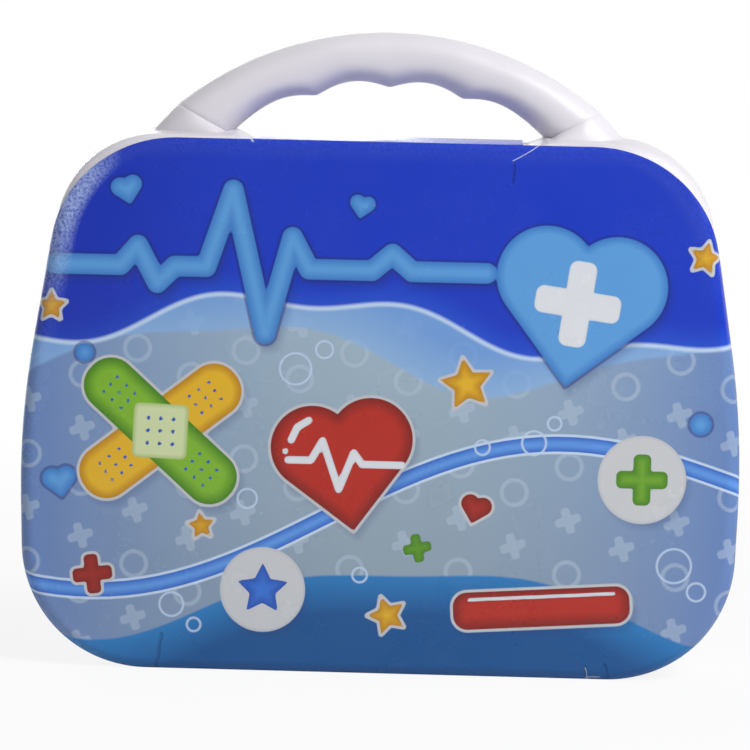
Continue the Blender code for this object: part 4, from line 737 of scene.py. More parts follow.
badges = [(disc, (92, 72), 14.5), (disc, (-40, 30), 14.0)]
stars = [(star, (30, 104), 9.5, 10), (star, (-116, 128), 5.5, 0), (star, (4, 22), 7.0, 20),
         (star, (112, 150), 6.0, -12), (star, (-62, 52), 5.0, 8)]
green_signs = [(plus_sign, (92, 72), 9.0, 3.1, 0), (plus_sign, (14, 46), 5.0, 1.8, 12)]
bubbles = [(disc, at, radius) for at, radius in (
    ((-30, 108), 5.5), ((-20, 115), 3.0), ((54, 84), 4.2), ((61, 91), 2.4), ((104, 42), 6.0),
    ((112, 33), 3.2), ((-6, 36), 2.6), ((-72, 24), 4.2), ((-64, 17), 2.4), ((36, 82), 2.6), ((-46, 62), 3.4))]
pad_dots = [(disc, (across * 4.4, up * 4.4), 0.8) for across in (-1, 0, 1) for up in (-1, 0, 1)]
strap_holes = [(disc, (end * (15.5 + along * 4.2), up * 3.6), 0.7)
               for end in (-1, 1) for along in (0, 1, 2) for up in (-1, 0, 1)]
small_beat = [(-32, 76), (-24, 76), (-20, 83), (-14, 66), (-9, 79), (-6, 75), (8, 75)]
glint = [(-31, 83), (-29, 87.5), (-25, 90)]
white_lines = [(plus_sign, (68, 133), 15.0, 4.8, -8), (stroke, small_beat, 1.3), (stroke, glint, 1.3),
               (disc, (-33, 79), 1.1), (bar, (58, 30), (26, 0.6), 0.5, 4.0)]
tile_size = 19.0
outline_width = 1.0
shadow_shift = (-1.4, 1.9)


def tiled(place):
    """Signed distance to the pale pattern: plus signs and rings by turns, on tiles in staggered columns."""
    tile = place / tile_size
    column = np.floor(tile[:, 0])
    shifted = np.stack((tile[:, 0], tile[:, 1] + 0.5 * np.mod(column, 2)), 1)
    own = (shifted - np.floor(shifted) - 0.5) * tile_size
    odd = np.mod(column + np.floor(shifted[:, 1]), 2) < 0.5
    return np.where(odd, plus_sign(own, (0, 0), 4.6, 1.5, 18.0), np.abs(disc(own, (0, 0), 4.4)) - 0.7)


def print_layers(place):
    """Each ink's signed distance in millimetres from every place on the sheet, below zero where it prints,
    and how far each place lies within the sheet's edge."""
    sheet, _ = outline(card_inset, card_corners)
    sheet = sheet[:len(sheet) // 2] * 1000
    half = np.interp(place[:, 1], sheet[:, 1], sheet[:, 0])
    over_base, under_top = place[:, 1] - sheet[0, 1], sheet[-1, 1] - place[:, 1]
    on_badge = drawn(place, badges)
    raised = drawn(place, large_red + small_red + straps + badges + stars)
    cast = large_sky + large_red + straps + badges
    holes = [drawn(local(place, plaster_at, turn), strap_holes) for turn in strap_turns]
    dots = drawn(local(place, plaster_at, pad_turn), pad_dots)
    return {
        "royal": wave_edge(place, 124.0, royal_swells),
        "haze": wave_edge(place, 113.0, haze_swells),
        "sea": -wave_edge(place, 26.0, sea_swells),
        "ribbon": stroke(place, ribbon_line, 2.6),
        "tint": tiled(place),
        "shadow": drawn(place + shadow_shift, cast),
        "white": np.minimum(raised - outline_width, on_badge),
        "sky": drawn(place, large_sky + small_sky),
        "red": drawn(place, large_red + small_red),
        "yellow": drawn(place, straps[:1] + stars),
        "green": drawn(place, straps[1:] + green_signs),
        "pad": bar(place, plaster_at, (9.6, 9.6), 2.0, pad_turn),
        "blue": np.minimum.reduce([star(place, (-40, 30), 9.5), dots] + holes),
        "white_over": drawn(place, white_lines),
        "bubble": drawn(place, bubbles),
        "margin": np.minimum(half - np.abs(place[:, 0]), np.minimum(over_base, under_top)),
    }


card_points, card_faces, bare_count, sheet_place = card_parts()
layers = print_layers(sheet_place)


def print_over(tree, under, distance, edge, core, depth, soft, strength):
    """One ink over what is printed already. It covers where its distance is below zero, and its tone runs
    from the edge colour to the core colour over depth millimetres."""
    toned = node(tree, "MapRange", {"Value": distance, "From Min": 0.0, "From Max": -depth})
    tone = node(tree, "Mix", {0: toned.outputs["Result"], 6: linear(edge), 7: linear(core)}, data_type="RGBA")
    cover = node(tree, "MapRange", {"Value": distance, "From Min": soft, "From Max": -soft,
                                    "To Max": strength})
    laid = node(tree, "Mix", {0: cover.outputs["Result"], 6: under, 7: tone.outputs[2]}, data_type="RGBA")
    return laid.outputs[2]


# Inks in the order that they are laid: layer, whether as an area or as a line along its edge, the
# millimetres that it is grown by, its colours at the edge and at the core, the depth of that change, its
# softness, and its cover.
field_inks = [
    ("tint", "area", 0, "#b7c7d8", "#adc0d4", 1.5, 0.25, 0.45),
    ("haze", "area", 0, "#86b0e0", "#5c93dc", 16.0, 0.6, 0.75),
    ("royal", "area", 0, "#1f4ecb", "#1237bf", 9.0, 0.35, 1.0),
]
motif_inks = [
    ("sea", "area", 0, "#2379bb", "#00508f", 14.0, 0.35, 1.0),
    ("royal", "line", 0.8, "#bcd4ee", "#cfe1f4", 0.8, 0.5, 0.8),
    ("ribbon", "area", 0.9, "#c9dcef", "#c9dcef", 1.0, 0.2, 0.85),
    ("ribbon", "area", 0, "#2c62c4", "#5e97e0", 2.4, 0.12, 1.0),
    ("shadow", "area", 0, "#1b2c6b", "#1b2c6b", 1.0, 2.2, 0.42),
    ("sky", "area", 0.9, "#1b2a7e", "#1b2a7e", 1.0, 0.25, 0.6),
    ("white", "area", 0, "#b9bcc2", "#c6c8cb", 1.2, 0.12, 1.0),
    ("sky", "area", 0, "#3a79c4", "#5a9bd8", 3.0, 0.12, 1.0),
    ("red", "area", 0, "#7c150d", "#b42617", 4.5, 0.12, 1.0),
    ("yellow", "area", 0, "#b97f0c", "#e0b022", 3.2, 0.12, 1.0),
    ("green", "area", 0, "#3f7c12", "#7db32c", 4.5, 0.12, 1.0),
    ("pad", "area", 0, "#a9c07a", "#cdd8a6", 1.6, 0.12, 1.0),
    ("blue", "area", 0, "#1c4fae", "#2f6fd0", 3.0, 0.12, 1.0),
    ("white_over", "area", 0, "#cdd2da", "#dadde2", 0.8, 0.12, 1.0),
    ("bubble", "line", 0.4, "#b4c8e4", "#c3d4ea", 0.5, 0.2, 0.85),
]


def lay_inks(tree, under, ink, rows):
    """The inks of those rows over what is printed already."""
    for layer, kind, grown, edge, core, depth, soft, strength in rows:
        distance = ink[layer]
        if kind == "line":
            distance = node(tree, "Math", {0: distance}, operation="ABSOLUTE").outputs[0]
        if grown:
            distance = node(tree, "Math", {0: distance, 1: grown}, operation="SUBTRACT").outputs[0]
        under = print_over(tree, under, distance, edge, core, depth, soft, strength)
    return under


# Creases of the board as (start, end, half width), in metres from the front: pressed folds, along which a
# dark line of painted shade is laid, and splits where the film has broken open. Both wander by a little as
# fibres tear.
folds = [((-0.0755, 0.013), (-0.0772, -0.001), 0.0007), ((0.0735, 0.005), (0.0748, -0.001), 0.0005),
         ((0.0805, 0.006), (0.0825, -0.001), 0.0006), ((0.0445, 0.181), (0.0442, 0.173), 0.0005)]
splits = [((0.0560, 0.1885), (0.0440, 0.1813), 0.00022), ((-0.0478, 0.1875), (-0.0462, 0.1858), 0.0005),
          ((0.0738, 0.0045), (0.0752, -0.001), 0.0002), ((0.0792, 0.0012), (0.0738, 0.0008), 0.0002)]
wander_size = 0.0052632
wander_reach = 0.0004
haze_size = 0.029412
sheet_ripple_size = 0.055556
scuff_size = 0.0011111
fibre_size = 0.00071429


def crease_line(tree, place, start, end, width):
    """How strongly a crease marks a place, as painted shade along a fold or as broken white film along a
    split: one on a line from start to end, seen from the front, that wanders with a noise, and nothing beyond
    its width or its ends."""
    start, end = np.array(start), np.array(end)
    length = np.hypot(*(end - start))
    along = (end - start) / length
    level = float(start @ (-along[1], along[0]))
    middle = float((start + end) / 2 @ along)
    swing = width + wander_reach
    wander = node(tree, "TexNoise", {"Vector": place, "Scale": 1 / wander_size, "Detail": 2.0})
    jitter = node(tree, "MapRange", {"Value": wander.outputs["Fac"], "To Min": -swing, "To Max": swing})
    run = node(tree, "VectorMath", {0: place, 1: (along[0], 0.0, along[1])}, operation="DOT_PRODUCT")
    off = node(tree, "VectorMath", {0: place, 1: (-along[1], 0.0, along[0])}, operation="DOT_PRODUCT")
    off = node(tree, "Math", {0: off.outputs["Value"], 1: level}, operation="SUBTRACT")
    off = node(tree, "Math", {0: off.outputs[0], 1: jitter.outputs[0]}, operation="ADD")
    off = node(tree, "Math", {0: off.outputs[0]}, operation="ABSOLUTE")
    inside = node(tree, "MapRange", {"Value": off.outputs[0], "From Min": width, "From Max": width * 0.5})
    past = node(tree, "Math", {0: run.outputs["Value"], 1: middle}, operation="SUBTRACT")
    past = node(tree, "Math", {0: past.outputs[0]}, operation="ABSOLUTE")
    half = length / 2
    short = node(tree, "MapRange", {"Value": past.outputs[0], "From Min": half, "From Max": half - width})
    return node(tree, "Math", {0: inside.outputs[0], 1: short.outputs[0]}, operation="MULTIPLY").outputs[0]


def strongest_of(tree, marks):
    """The strongest of several marks at a place."""
    strongest = marks[0]
    for mark in marks[1:]:
        strongest = node(tree, "Math", {0: strongest, 1: mark}, operation="MAXIMUM").outputs[0]
    return strongest


def printed_colour(tree, ink, x, z):
    """The inks' colour: a pale field, darker towards the base as painted shade and bluer towards both sides,
    then the inks in order, with the royal blue dusky towards the left."""
    # Painted shade: the pale field darkens towards the base, as if less light falls there.
    up = node(tree, "MapRange", {"Value": z, "From Min": 0.030, "From Max": 0.125})
    side = node(tree, "MapRange", {"Value": x, "From Min": -0.125, "From Max": 0.125})
    pale = node(tree, "Mix", {0: up.outputs[0], 6: linear("#8d9fae"), 7: linear("#9db3c3")}, data_type="RGBA")
    far = node(tree, "Math", {0: side.outputs[0], 1: 0.5}, operation="SUBTRACT")
    far = node(tree, "Math", {0: far.outputs[0], 1: far.outputs[0]}, operation="MULTIPLY")
    far = node(tree, "Math", {0: far.outputs[0], 1: 3.4}, operation="MULTIPLY", use_clamp=True)
    field = node(tree, "Mix", {0: far.outputs[0], 6: pale.outputs[2], 7: linear("#5377ba")}, data_type="RGBA")
    royal = lay_inks(tree, field.outputs[2], ink, field_inks)
    dusk = node(tree, "MapRange", {"Value": x, "From Min": -0.05, "From Max": -0.125, "To Max": 0.55})
    deep = node(tree, "Mix", {0: dusk.outputs[0], 6: royal, 7: linear("#10229a")}, data_type="RGBA")
    inside = node(tree, "MapRange", {"Value": ink["royal"], "From Min": 0.3, "From Max": -0.3})
    laid = node(tree, "Mix", {0: inside.outputs[0], 6: royal, 7: deep.outputs[2]}, data_type="RGBA")
    return lay_inks(tree, laid.outputs[2], ink, motif_inks)


def film_scuffs_and_sheen(tree, place, ink, x, z):
    """How far the film is rubbed, and where a highlight is painted: fine scuffs where the board bends, faint
    all round and strongest round the left shoulder, where the pale scuffing is partly real wear and partly a
    painted highlight.
    """
    bend = node(tree, "MapRange", {"Value": ink["margin"], "From Min": 4.6, "From Max": 0.4})
    upper = node(tree, "MapRange", {"Value": z, "From Min": 0.125, "From Max": 0.158, "To Min": 0.05})
    left = node(tree, "MapRange", {"Value": x, "From Min": -0.092, "From Max": -0.104, "To Min": 0.05})
    there = node(tree, "Math", {0: upper.outputs[0], 1: left.outputs[0]}, operation="MULTIPLY")
    there = node(tree, "Math", {0: there.outputs[0], 1: bend.outputs[0]}, operation="MULTIPLY")
    rub = node(tree, "TexNoise", {"Vector": place, "Scale": 1 / scuff_size, "Detail": 6.0, "Roughness": 0.8})
    scuff_and_sheen = node(tree, "MapRange", {"Value": rub.outputs["Fac"], "From Min": 0.36, "From Max": 0.60})
    return node(tree, "Math", {0: scuff_and_sheen.outputs[0], 1: there.outputs[0]}, operation="MULTIPLY").outputs[0]


def laminated_print():
    """Offset print on coated board under a glossy film: the film gives it long soft ripples and a hazy shine,
    and where a crease or a worn edge has broken it, scuffs and bare fibres show matt and pale. The pressed
    folds are darkened with painted shade, and round the left shoulder the pale scuffs are partly a painted
    highlight."""
    made, tree, shader = new_material("laminated_offset_print")
    ink = {name: node(tree, "Attribute", attribute_name="print_" + name).outputs["Fac"] for name in layers}
    place = node(tree, "TexCoord").outputs["Object"]
    x, _, z = node(tree, "SeparateXYZ", {0: place}).outputs
    laid = printed_colour(tree, ink, x, z)
    # Painted shade: a dark line along each pressed fold, which also presses the film in as a bump.
    fold_and_shade = strongest_of(tree, [crease_line(tree, place, *crease) for crease in folds])
    bare = strongest_of(tree, [crease_line(tree, place, *crease) for crease in splits])
    # Partly wear and partly a painted highlight: pale scuffs along the bends, strongest round the left
    # shoulder.
    scuff_and_sheen = film_scuffs_and_sheen(tree, place, ink, x, z)
    for mark, share, code in ((fold_and_shade, 0.28, "#0c2350"), (scuff_and_sheen, 1.0, "#a9bde6"), (bare, 0.8, "#c6ccd8")):
        shown = node(tree, "Math", {0: mark, 1: share}, operation="MULTIPLY")
        laid = node(tree, "Mix", {0: shown.outputs[0], 6: laid, 7: linear(code)}, data_type="RGBA").outputs[2]
    tree.links.new(laid, shader.inputs["Base Color"])
    haze = node(tree, "TexNoise", {"Vector": place, "Scale": 1 / haze_size, "Detail": 4.0, "Roughness": 0.62})
    film = node(tree, "MapRange", {"Value": haze.outputs["Fac"], "From Min": 0.4, "From Max": 0.72,
                                   "To Min": 0.20, "To Max": 0.34})
    dulled = node(tree, "Math", {0: scuff_and_sheen, 1: 0.3}, operation="MULTIPLY")
    rough = node(tree, "Math", {0: film.outputs[0], 1: dulled.outputs[0]}, operation="ADD")
    rough = node(tree, "Math", {0: rough.outputs[0], 1: bare}, operation="MAXIMUM")
    tree.links.new(rough.outputs[0], shader.inputs["Roughness"])
    ripple = node(tree, "TexNoise", {"Vector": place, "Scale": 1 / sheet_ripple_size, "Detail": 1.0})
    relief = node(tree, "Bump", {"Height": ripple.outputs["Fac"], "Strength": 0.6, "Distance": 0.0006})
    relief = node(tree, "Bump", {"Height": scuff_and_sheen, "Strength": 0.35, "Distance": 0.00012,
                                 "Normal": relief.outputs[0]})
    relief = node(tree, "Bump", {"Height": fold_and_shade, "Strength": 0.7, "Distance": 0.0005,
                                 "Normal": relief.outputs[0]}, invert=True)
    tree.links.new(relief.outputs[0], shader.inputs["Normal"])
    shader.inputs["IOR"].default_value = 1.5
    return made


def bare_board():
    """The board's cut edge and back: uncoated grey-white pulp, matt, with fine fibres."""
    made, tree, shader = new_material("uncoated_board_pulp")
    place = node(tree, "TexCoord").outputs["Object"]
    fibre = node(tree, "TexNoise", {"Vector": place, "Scale": 1 / fibre_size, "Detail": 3.0})
    tone = node(tree, "ValToRGB", {"Fac": fibre.outputs["Fac"]})
    for stop, code in zip(tone.color_ramp.elements, ("#b9b6b1", "#dcdad6")):
        stop.color = linear(code)
    tree.links.new(tone.outputs["Color"], shader.inputs["Base Color"])
    shader.inputs["Roughness"].default_value = 0.85
    return made


card_mesh = bpy.data.meshes.new("printed_card")
card_mesh.from_pydata(card_points.tolist(), [], card_faces)
for layer_name, distances in layers.items():
    attribute = card_mesh.attributes.new("print_" + layer_name, "FLOAT", "POINT")
    attribute.data.foreach_set("value", distances.astype(np.float32))
face_outward(card_mesh)
bare_index = np.zeros(len(card_faces), np.int32)
bare_index[-bare_count:] = 1
add_piece("printed_card", card_mesh, laminated_print(), "lid", "front_card", 40)
card_mesh.materials.append(bare_board())
card_mesh.polygons.foreach_set("material_index", bare_index)

# Hinge pins. Two pins of natural polypropylene, one pushed through each row of three knuckles. They keep
# the CAD's shape. The uncoloured plastic is a little waxy and duller than the shells.
pin_plastic = moulded_plastic("natural_polypropylene_pin", "#e9e7e2", "#dedbd5", 0.42)
for pin_name in ("hinge_pin_left", "hinge_pin_right"):
    pin_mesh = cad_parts[pin_name].data
    pin_mesh.materials.clear()
    pin_mesh.materials.append(pin_plastic)
    pin_mesh.polygons.foreach_set("material_index", np.zeros(len(pin_mesh.polygons), np.int32))

# Insert tray. Thin white polystyrene sheet, vacuum formed over a mould with a pocket for each toy, and
# trimmed to lie inside the back shell's rim. The sheet draws out to a smooth, slightly cloudy gloss.
tray_sheet = moulded_plastic("vacuum_formed_polystyrene", "#e3e2e6", "#dddce2", 0.30, 0.0010, 0.05)
toy_y = 0.0125
tray_face = 0.0105
tray_inset = 0.0053
tray_base = 0.0055
sheet_thickness = 0.0010
pocket_draft = 0.0012
pocket_bend = 0.0012
pocket_clearance = 0.0003
least_corner = 0.0001
pocket_step = 3e-6
flared_mouth = [(-0.0007, tray_face - 0.002), (-0.0007, tray_face - 0.0001), (-0.0003, tray_face + 0.0003),
                (0.0, tray_face + 0.0008)]
plain_mouth = [(0.0, tray_face + 0.0005)]
# Each pocket's left, base, right, top, corner radius, and reach behind the toys' axis. Two hold the
# hammer, three the syringe, one the thermometer, one the capsules, and five the stethoscope.
tray_pockets = [
    (-0.10824, 0.1343, -0.05584, 0.1617, 0.004, 0.0115), (-0.09044, 0.0458, -0.07364, 0.148, 0.004, 0.007),
    (-0.1092, 0.0138, -0.0248, 0.0402, 0.012, 0.011), (-0.0322, 0.0068, -0.0248, 0.0472, 0.0015, 0.011),
    (-0.0292, 0.0138, 0.0274, 0.0402, 0.004, 0.0042), (0.0298, 0.0108, 0.1062, 0.0412, 0.012, 0.006),
    (0.01984, 0.0418, 0.11624, 0.0662, 0.004, 0.010), (-0.04722, 0.0748, 0.03722, 0.1792, 0.016, 0.0055),
    (-0.0098, 0.0642, 0.0558, 0.077, 0.004, 0.0026), (0.0438, 0.0642, 0.0876, 0.1618, 0.004, 0.0026),
    (0.0578, 0.0918, 0.0982, 0.1322, 0.020, 0.0055), (0.072, 0.112, 0.084, 0.1412, 0.004, 0.0038),
]


def rectangle(low, high, radius, steps):
    """Corners of a rounded rectangle between two points."""
    return [(x, z, radius, steps) for x, z in (low, (high[0], low[1]), high, (low[0], high[1]))]


def slab(corners, levels, lowest=-1.0):
    """A flat form: rings of a rounded outline at levels of (inset, depth), no lower than a height, closed at
    front and back."""
    rings = []
    for inset, depth in levels:
        flat = outline(inset, corners)[0]
        rings.append(np.stack((flat[:, 0], np.full(len(flat), depth), np.maximum(flat[:, 1], lowest)), 1))
    return lattice(np.array(rings), True, False, True)


def pocket(number, grown):
    """A pocket as a solid, inside the sheet or grown by its thickness: a mouth that flares as drawn sheet
    does, drafted walls, and a floor with rounded edges. Each is a few microns wider and deeper than the one
    before, so that no two faces lie in one plane."""
    left, low, right, high, radius, reach = tray_pockets[number]
    extra = pocket_step * number
    floor = toy_y + reach + pocket_clearance + grown - extra
    bend = min(pocket_bend, radius - pocket_draft - least_corner)
    turn = np.linspace(0, math.pi / 2, 5)
    foot = [(pocket_draft + bend * (1 - math.cos(angle)), floor - bend + bend * math.sin(angle))
            for angle in turn]
    levels = (plain_mouth if grown else flared_mouth) + foot
    corners = rectangle((left, low), (right, high), radius, 8)
    return slab(corners, [(inset - grown - extra, depth) for inset, depth in levels])


sheet_levels = [(tray_inset, tray_face), (tray_inset, tray_face + sheet_thickness)]
tray_mesh = make_mesh("tray", [slab(card_corners, sheet_levels, tray_base)])
for grown, operation in ((sheet_thickness, "UNION"), (0.0, "DIFFERENCE")):
    tray_mesh = carve(tray_mesh, [pocket(number, grown) for number in range(len(tray_pockets))], operation)
add_piece("formed_tray", tray_mesh, tray_sheet, "base", "insert_tray", 28)

# Reflex hammer. A hollow head with flared striking faces and a ridged handle that plugs into its boss, both
# injection moulded from red polystyrene, which leaves the mould with a hard bright gloss.
red_plastic = moulded_plastic("moulded_polystyrene_red", "#c8281c", "#b4201a", 0.20)
axis_x, axis_y, axis_z = np.eye(3)
hammer_at = np.array((-0.08204, toy_y, 0.148))
head_half = 0.024
head_radius = 0.0115
head_shares = [(1, 0.01), (1, 0.80), (0.95, 1), (0.72, 1), (0.62, 0.86), (0.52, 0.70), (0.26, 0.70),
               (0.20, 0.86)]
boss_start = 0.003
boss_length = 0.014
boss_radius = 0.0070
plug_radius = 0.0040
plug_length = 0.008
handle_length = 0.086
handle_radius = 0.0062
handle_waist = 0.0045
ridges = 5
ridge_shares = ((0, 0.84), (0.3, 1), (0.7, 1))


def softened(profile, radius, closed=False):
    """A profile whose corners are rounded: each is replaced by the curve (1 - t)^2 a + 2 t (1 - t) b + t^2 c
    from a radius before the corner to a radius past it, or from halfway along a shorter leg."""
    profile = np.array(profile, float)
    before, here, after = np.roll(profile, 1, 0), profile, np.roll(profile, -1, 0)
    if not closed:
        before, here, after = before[1:-1], here[1:-1], after[1:-1]

    def towards(other):
        length = np.hypot(*(other - here).T)[:, None]
        return here + (other - here) / length * np.minimum(radius, length / 2)

    t = np.linspace(0, 1, 5)[None, :, None]
    start, end = towards(before)[:, None], towards(after)[:, None]
    bends = (start * (1 - t) ** 2 + here[:, None] * 2 * t * (1 - t) + end * t ** 2).reshape(-1, 2)
    return bends if closed else np.concatenate((profile[:1], bends, profile[-1:]))


def lathed(profile, soft, steps, at, axis, closed=False):
    """A turned form whose corners are rounded by soft, as a polished mould leaves them."""
    return turned(softened(profile, soft, closed), steps, at, axis, closed)


def sleeve(inner, outer, start, end, at, axis, soft, steps=48):
    """A tube with softened rims: a rectangle of (distance, radius) turned about the axis."""
    return lathed([(start, inner), (end, inner), (end, outer), (start, outer)], soft, steps, at, axis, True)


def add_toy(cad_node, parts, material, sharp=50, body="base"):
    """A toy's piece, named after the CAD node that it stands for."""
    return add_piece("toy_" + cad_node, parts, material, body, cad_node, sharp)


head_right = [(head_half * along, head_radius * wide) for along, wide in head_shares]
head_left = [(-along, wide) for along, wide in reversed(head_right)]
boss = sleeve(plug_radius + gap, boss_radius, boss_start, boss_length, hammer_at, -axis_z, 0.0008)
head = lathed(head_right + head_left, 0.0012, 72, hammer_at, axis_x)
add_toy("hammer_head", [head, boss], red_plastic)

grip_start = handle_length * 0.44
ridge = (handle_length - grip_start) * 0.93 / ridges
handle_profile = [(-plug_length, 0.0030), (-plug_length, plug_radius), (gap, plug_radius),
                  (gap, handle_radius), (handle_length * 0.4, handle_waist)]
handle_profile += [(grip_start + (number + along) * ridge, handle_radius * wide) for number in range(ridges)
                   for along, wide in ridge_shares]
handle_profile += [(handle_length - 0.0012, handle_radius * 0.92), (handle_length, handle_radius * 0.6),
                   (handle_length, 0.0001)]
handle = lathed(handle_profile, 0.0011, 48, hammer_at - boss_length * axis_z, -axis_z)
add_toy("hammer_handle", [handle], red_plastic)

# Play syringe. A white barrel with an oval finger flange, a blue stepped nozzle and a blue plunger with a
# finger ring, all moulded from polystyrene that shines as the hammer's does, and a seal of matt black rubber
# that slides in the bore.
blue_plastic = moulded_plastic("moulded_polystyrene_blue", "#2560c8", "#1d54b6", 0.20)
toy_white = moulded_plastic("moulded_polystyrene_white", "#e0e2e4", "#dfe1e3", 0.24, lift=0.02)
seal_rubber = moulded_plastic("moulded_seal_rubber", "#2e2f33", "#232428", 0.55)
syringe_at = np.array((-0.085, toy_y, 0.027))
barrel_length = 0.058
barrel_radius = 0.0110
barrel_low = 0.0101
bore_radius = 0.0092
band_shares = (0.04, 0.12, 0.14)
flange_start = 0.055
flange_reach = 0.0078
flange_half_depth = 0.011
flange_half_height = 0.018
nozzle_length = 0.022
nozzle_tip_radius = 0.0034
nozzle_bore = 0.0016
nozzle_shares = ((0, 1), (0.30, 0.97), (0.34, 0.72), (0.60, 0.66), (0.64, 0.44), (1, 0))
seal_length = 0.005
seal_shares = ((0, 0.02), (0, 0.6), (0.2, 1), (0.4, 0.88), (0.6, 0.88), (0.8, 1), (1, 0.9), (1, 0.02))
ring_bar = 0.0024
ring_radius = 0.0085
rod_radius = 0.0042
rod_foot = 0.0024
rod_foot_radius = 0.0063

rise, top, fall = (barrel_length * share for share in band_shares)
rim = barrel_length - 0.0006
barrel_profile = [(0, bore_radius), (0, barrel_low), (rise, barrel_radius), (top, barrel_radius),
                  (fall, barrel_low), (rim, barrel_low), (rim, bore_radius)]
barrel = lathed(barrel_profile, 0.0005, 72, syringe_at, axis_x, True)
# The finger flange runs from the bore's circle out to an ellipse, by the share of its reach.
flange_end = barrel_length - gap
flange_profile = softened([(flange_start, 0), (flange_start, flange_reach), (flange_end, flange_reach),
                           (flange_end, 0)], 0.0009, True)
turn = np.linspace(0, 2 * math.pi, 96, endpoint=False)
share = flange_profile[:, 1:] / flange_reach
flange = np.empty((len(flange_profile), len(turn), 3))
flange[:, :, 0] = syringe_at[0] + flange_profile[:, :1]
flange[:, :, 1] = syringe_at[1] + (bore_radius * (1 - share) + flange_half_depth * share) * np.cos(turn)
flange[:, :, 2] = syringe_at[2] + (bore_radius * (1 - share) + flange_half_height * share) * np.sin(turn)
add_toy("syringe_barrel", [barrel, lattice(flange, True, True)], toy_white)

nozzle_run, nozzle_fall = nozzle_length - gap, barrel_radius - nozzle_tip_radius
nozzle_profile = [(gap + nozzle_run * along, nozzle_tip_radius + nozzle_fall * wide)
                  for along, wide in nozzle_shares]
nozzle_profile += [(nozzle_length, nozzle_bore), (gap, nozzle_bore)]
nozzle = lathed(nozzle_profile, 0.0007, 72, syringe_at, -axis_x, True)
add_toy("syringe_nozzle", [nozzle], blue_plastic)

rod_start = seal_length + 2 * gap
rod_profile = [(rod_start, 0.0002), (rod_start, rod_foot_radius), (rod_start + rod_foot, rod_foot_radius),
               (rod_start + rod_foot, rod_radius), (barrel_length + gap, rod_radius), (0.0620, ring_bar),
               (0.0640, 0.0012)]
bar_turn = np.linspace(0, 2 * math.pi, 24, endpoint=False)
ring_profile = np.stack((ring_bar * np.sin(bar_turn), ring_radius + ring_bar * np.cos(bar_turn)), 1)
ring_at = syringe_at + (barrel_length + ring_radius + 2 * ring_bar) * axis_x
rod = lathed(rod_profile, 0.0005, 48, syringe_at, axis_x)
finger_ring = turned(ring_profile, 72, ring_at, axis_y, True)
add_toy("syringe_plunger", [rod, finger_ring], blue_plastic, body="plunger")

seal_profile = [(gap + seal_length * along, (bore_radius - gap) * wide) for along, wide in seal_shares]
seal = lathed(seal_profile, 0.0006, 72, syringe_at, axis_x)
add_toy("syringe_seal", [seal], seal_rubber, 60, "plunger")

# Play thermometer. A glossy green polystyrene body with a softer, silky light-green pad set into it, and a
# printed dial under a pointer that turns on the dial's post.
green_plastic = moulded_plastic("moulded_polystyrene_green", "#67a324", "#5a931e", 0.20)
light_green_plastic = moulded_plastic("moulded_elastomer_light_green", "#9ccb3f", "#8dbd36", 0.34)
body_low = 0.0065
body_high = 0.0185
body_left = 0.032
body_right = 0.104
body_z = 0.026
head_wide = 0.0130
tail_wide = 0.0065
pad_centre = (0.080, body_z)
pad_half = 0.013
pad_wide = 0.0046
pad_depth = 0.0012
dial_at = np.array((body_left + head_wide, body_low, body_z))
dial_radius = 0.0098
dial_depth = 0.0030
dial_face = 0.00165
post_radius = 0.0010
post_top = 0.00045
full_round = 0.99


def soft_levels(low, high, radius):
    """Levels of (inset, depth) between two depths, with a quarter round of that radius at both."""
    turn = np.linspace(0, math.pi / 2, 6)
    inset, rise = radius * (1 - np.sin(turn)), radius * (1 - np.cos(turn))
    return list(zip(inset, low + rise)) + list(zip(inset[::-1], high - rise[::-1]))


def long_oval(centre, half, wide):
    """Corners of a long oval along X."""
    low, high = (centre[0] - half, centre[1] - wide), (centre[0] + half, centre[1] + wide)
    return rectangle(low, high, wide * full_round, 14)


body_side = [(body_left, head_wide, head_wide * full_round, 20),
             (body_left + 2 * head_wide, head_wide, 0.0078, 10),
             (body_right, tail_wide, tail_wide * 0.9, 12)]
body_corners = [(x, body_z - half, radius, steps) for x, half, radius, steps in body_side]
body_corners += [(x, body_z + half, radius, steps) for x, half, radius, steps in reversed(body_side)]
body_mesh = make_mesh("thermometer", [slab(body_corners, soft_levels(body_low, body_high, 0.002))])
dial_hole = turned([(-overcut, dial_radius + gap), (dial_depth, dial_radius + gap)], 96, dial_at, axis_y)
pad_hole = slab(long_oval(pad_centre, pad_half + gap, pad_wide + gap),
                [(0, body_low - overcut), (0, body_low + pad_depth)])
add_toy("thermometer_body", carve(body_mesh, [dial_hole, pad_hole]), green_plastic, 30)
pad_rises = ((0.0012, -0.0012), (0.0006, -0.00108), (0.0002, -0.0007), (0, -0.0002), (0, pad_depth - gap))
pad = slab(long_oval(pad_centre, pad_half, pad_wide), [(inset, body_low + rise) for inset, rise in pad_rises])
add_toy("thermometer_pad", [pad], light_green_plastic, 40)


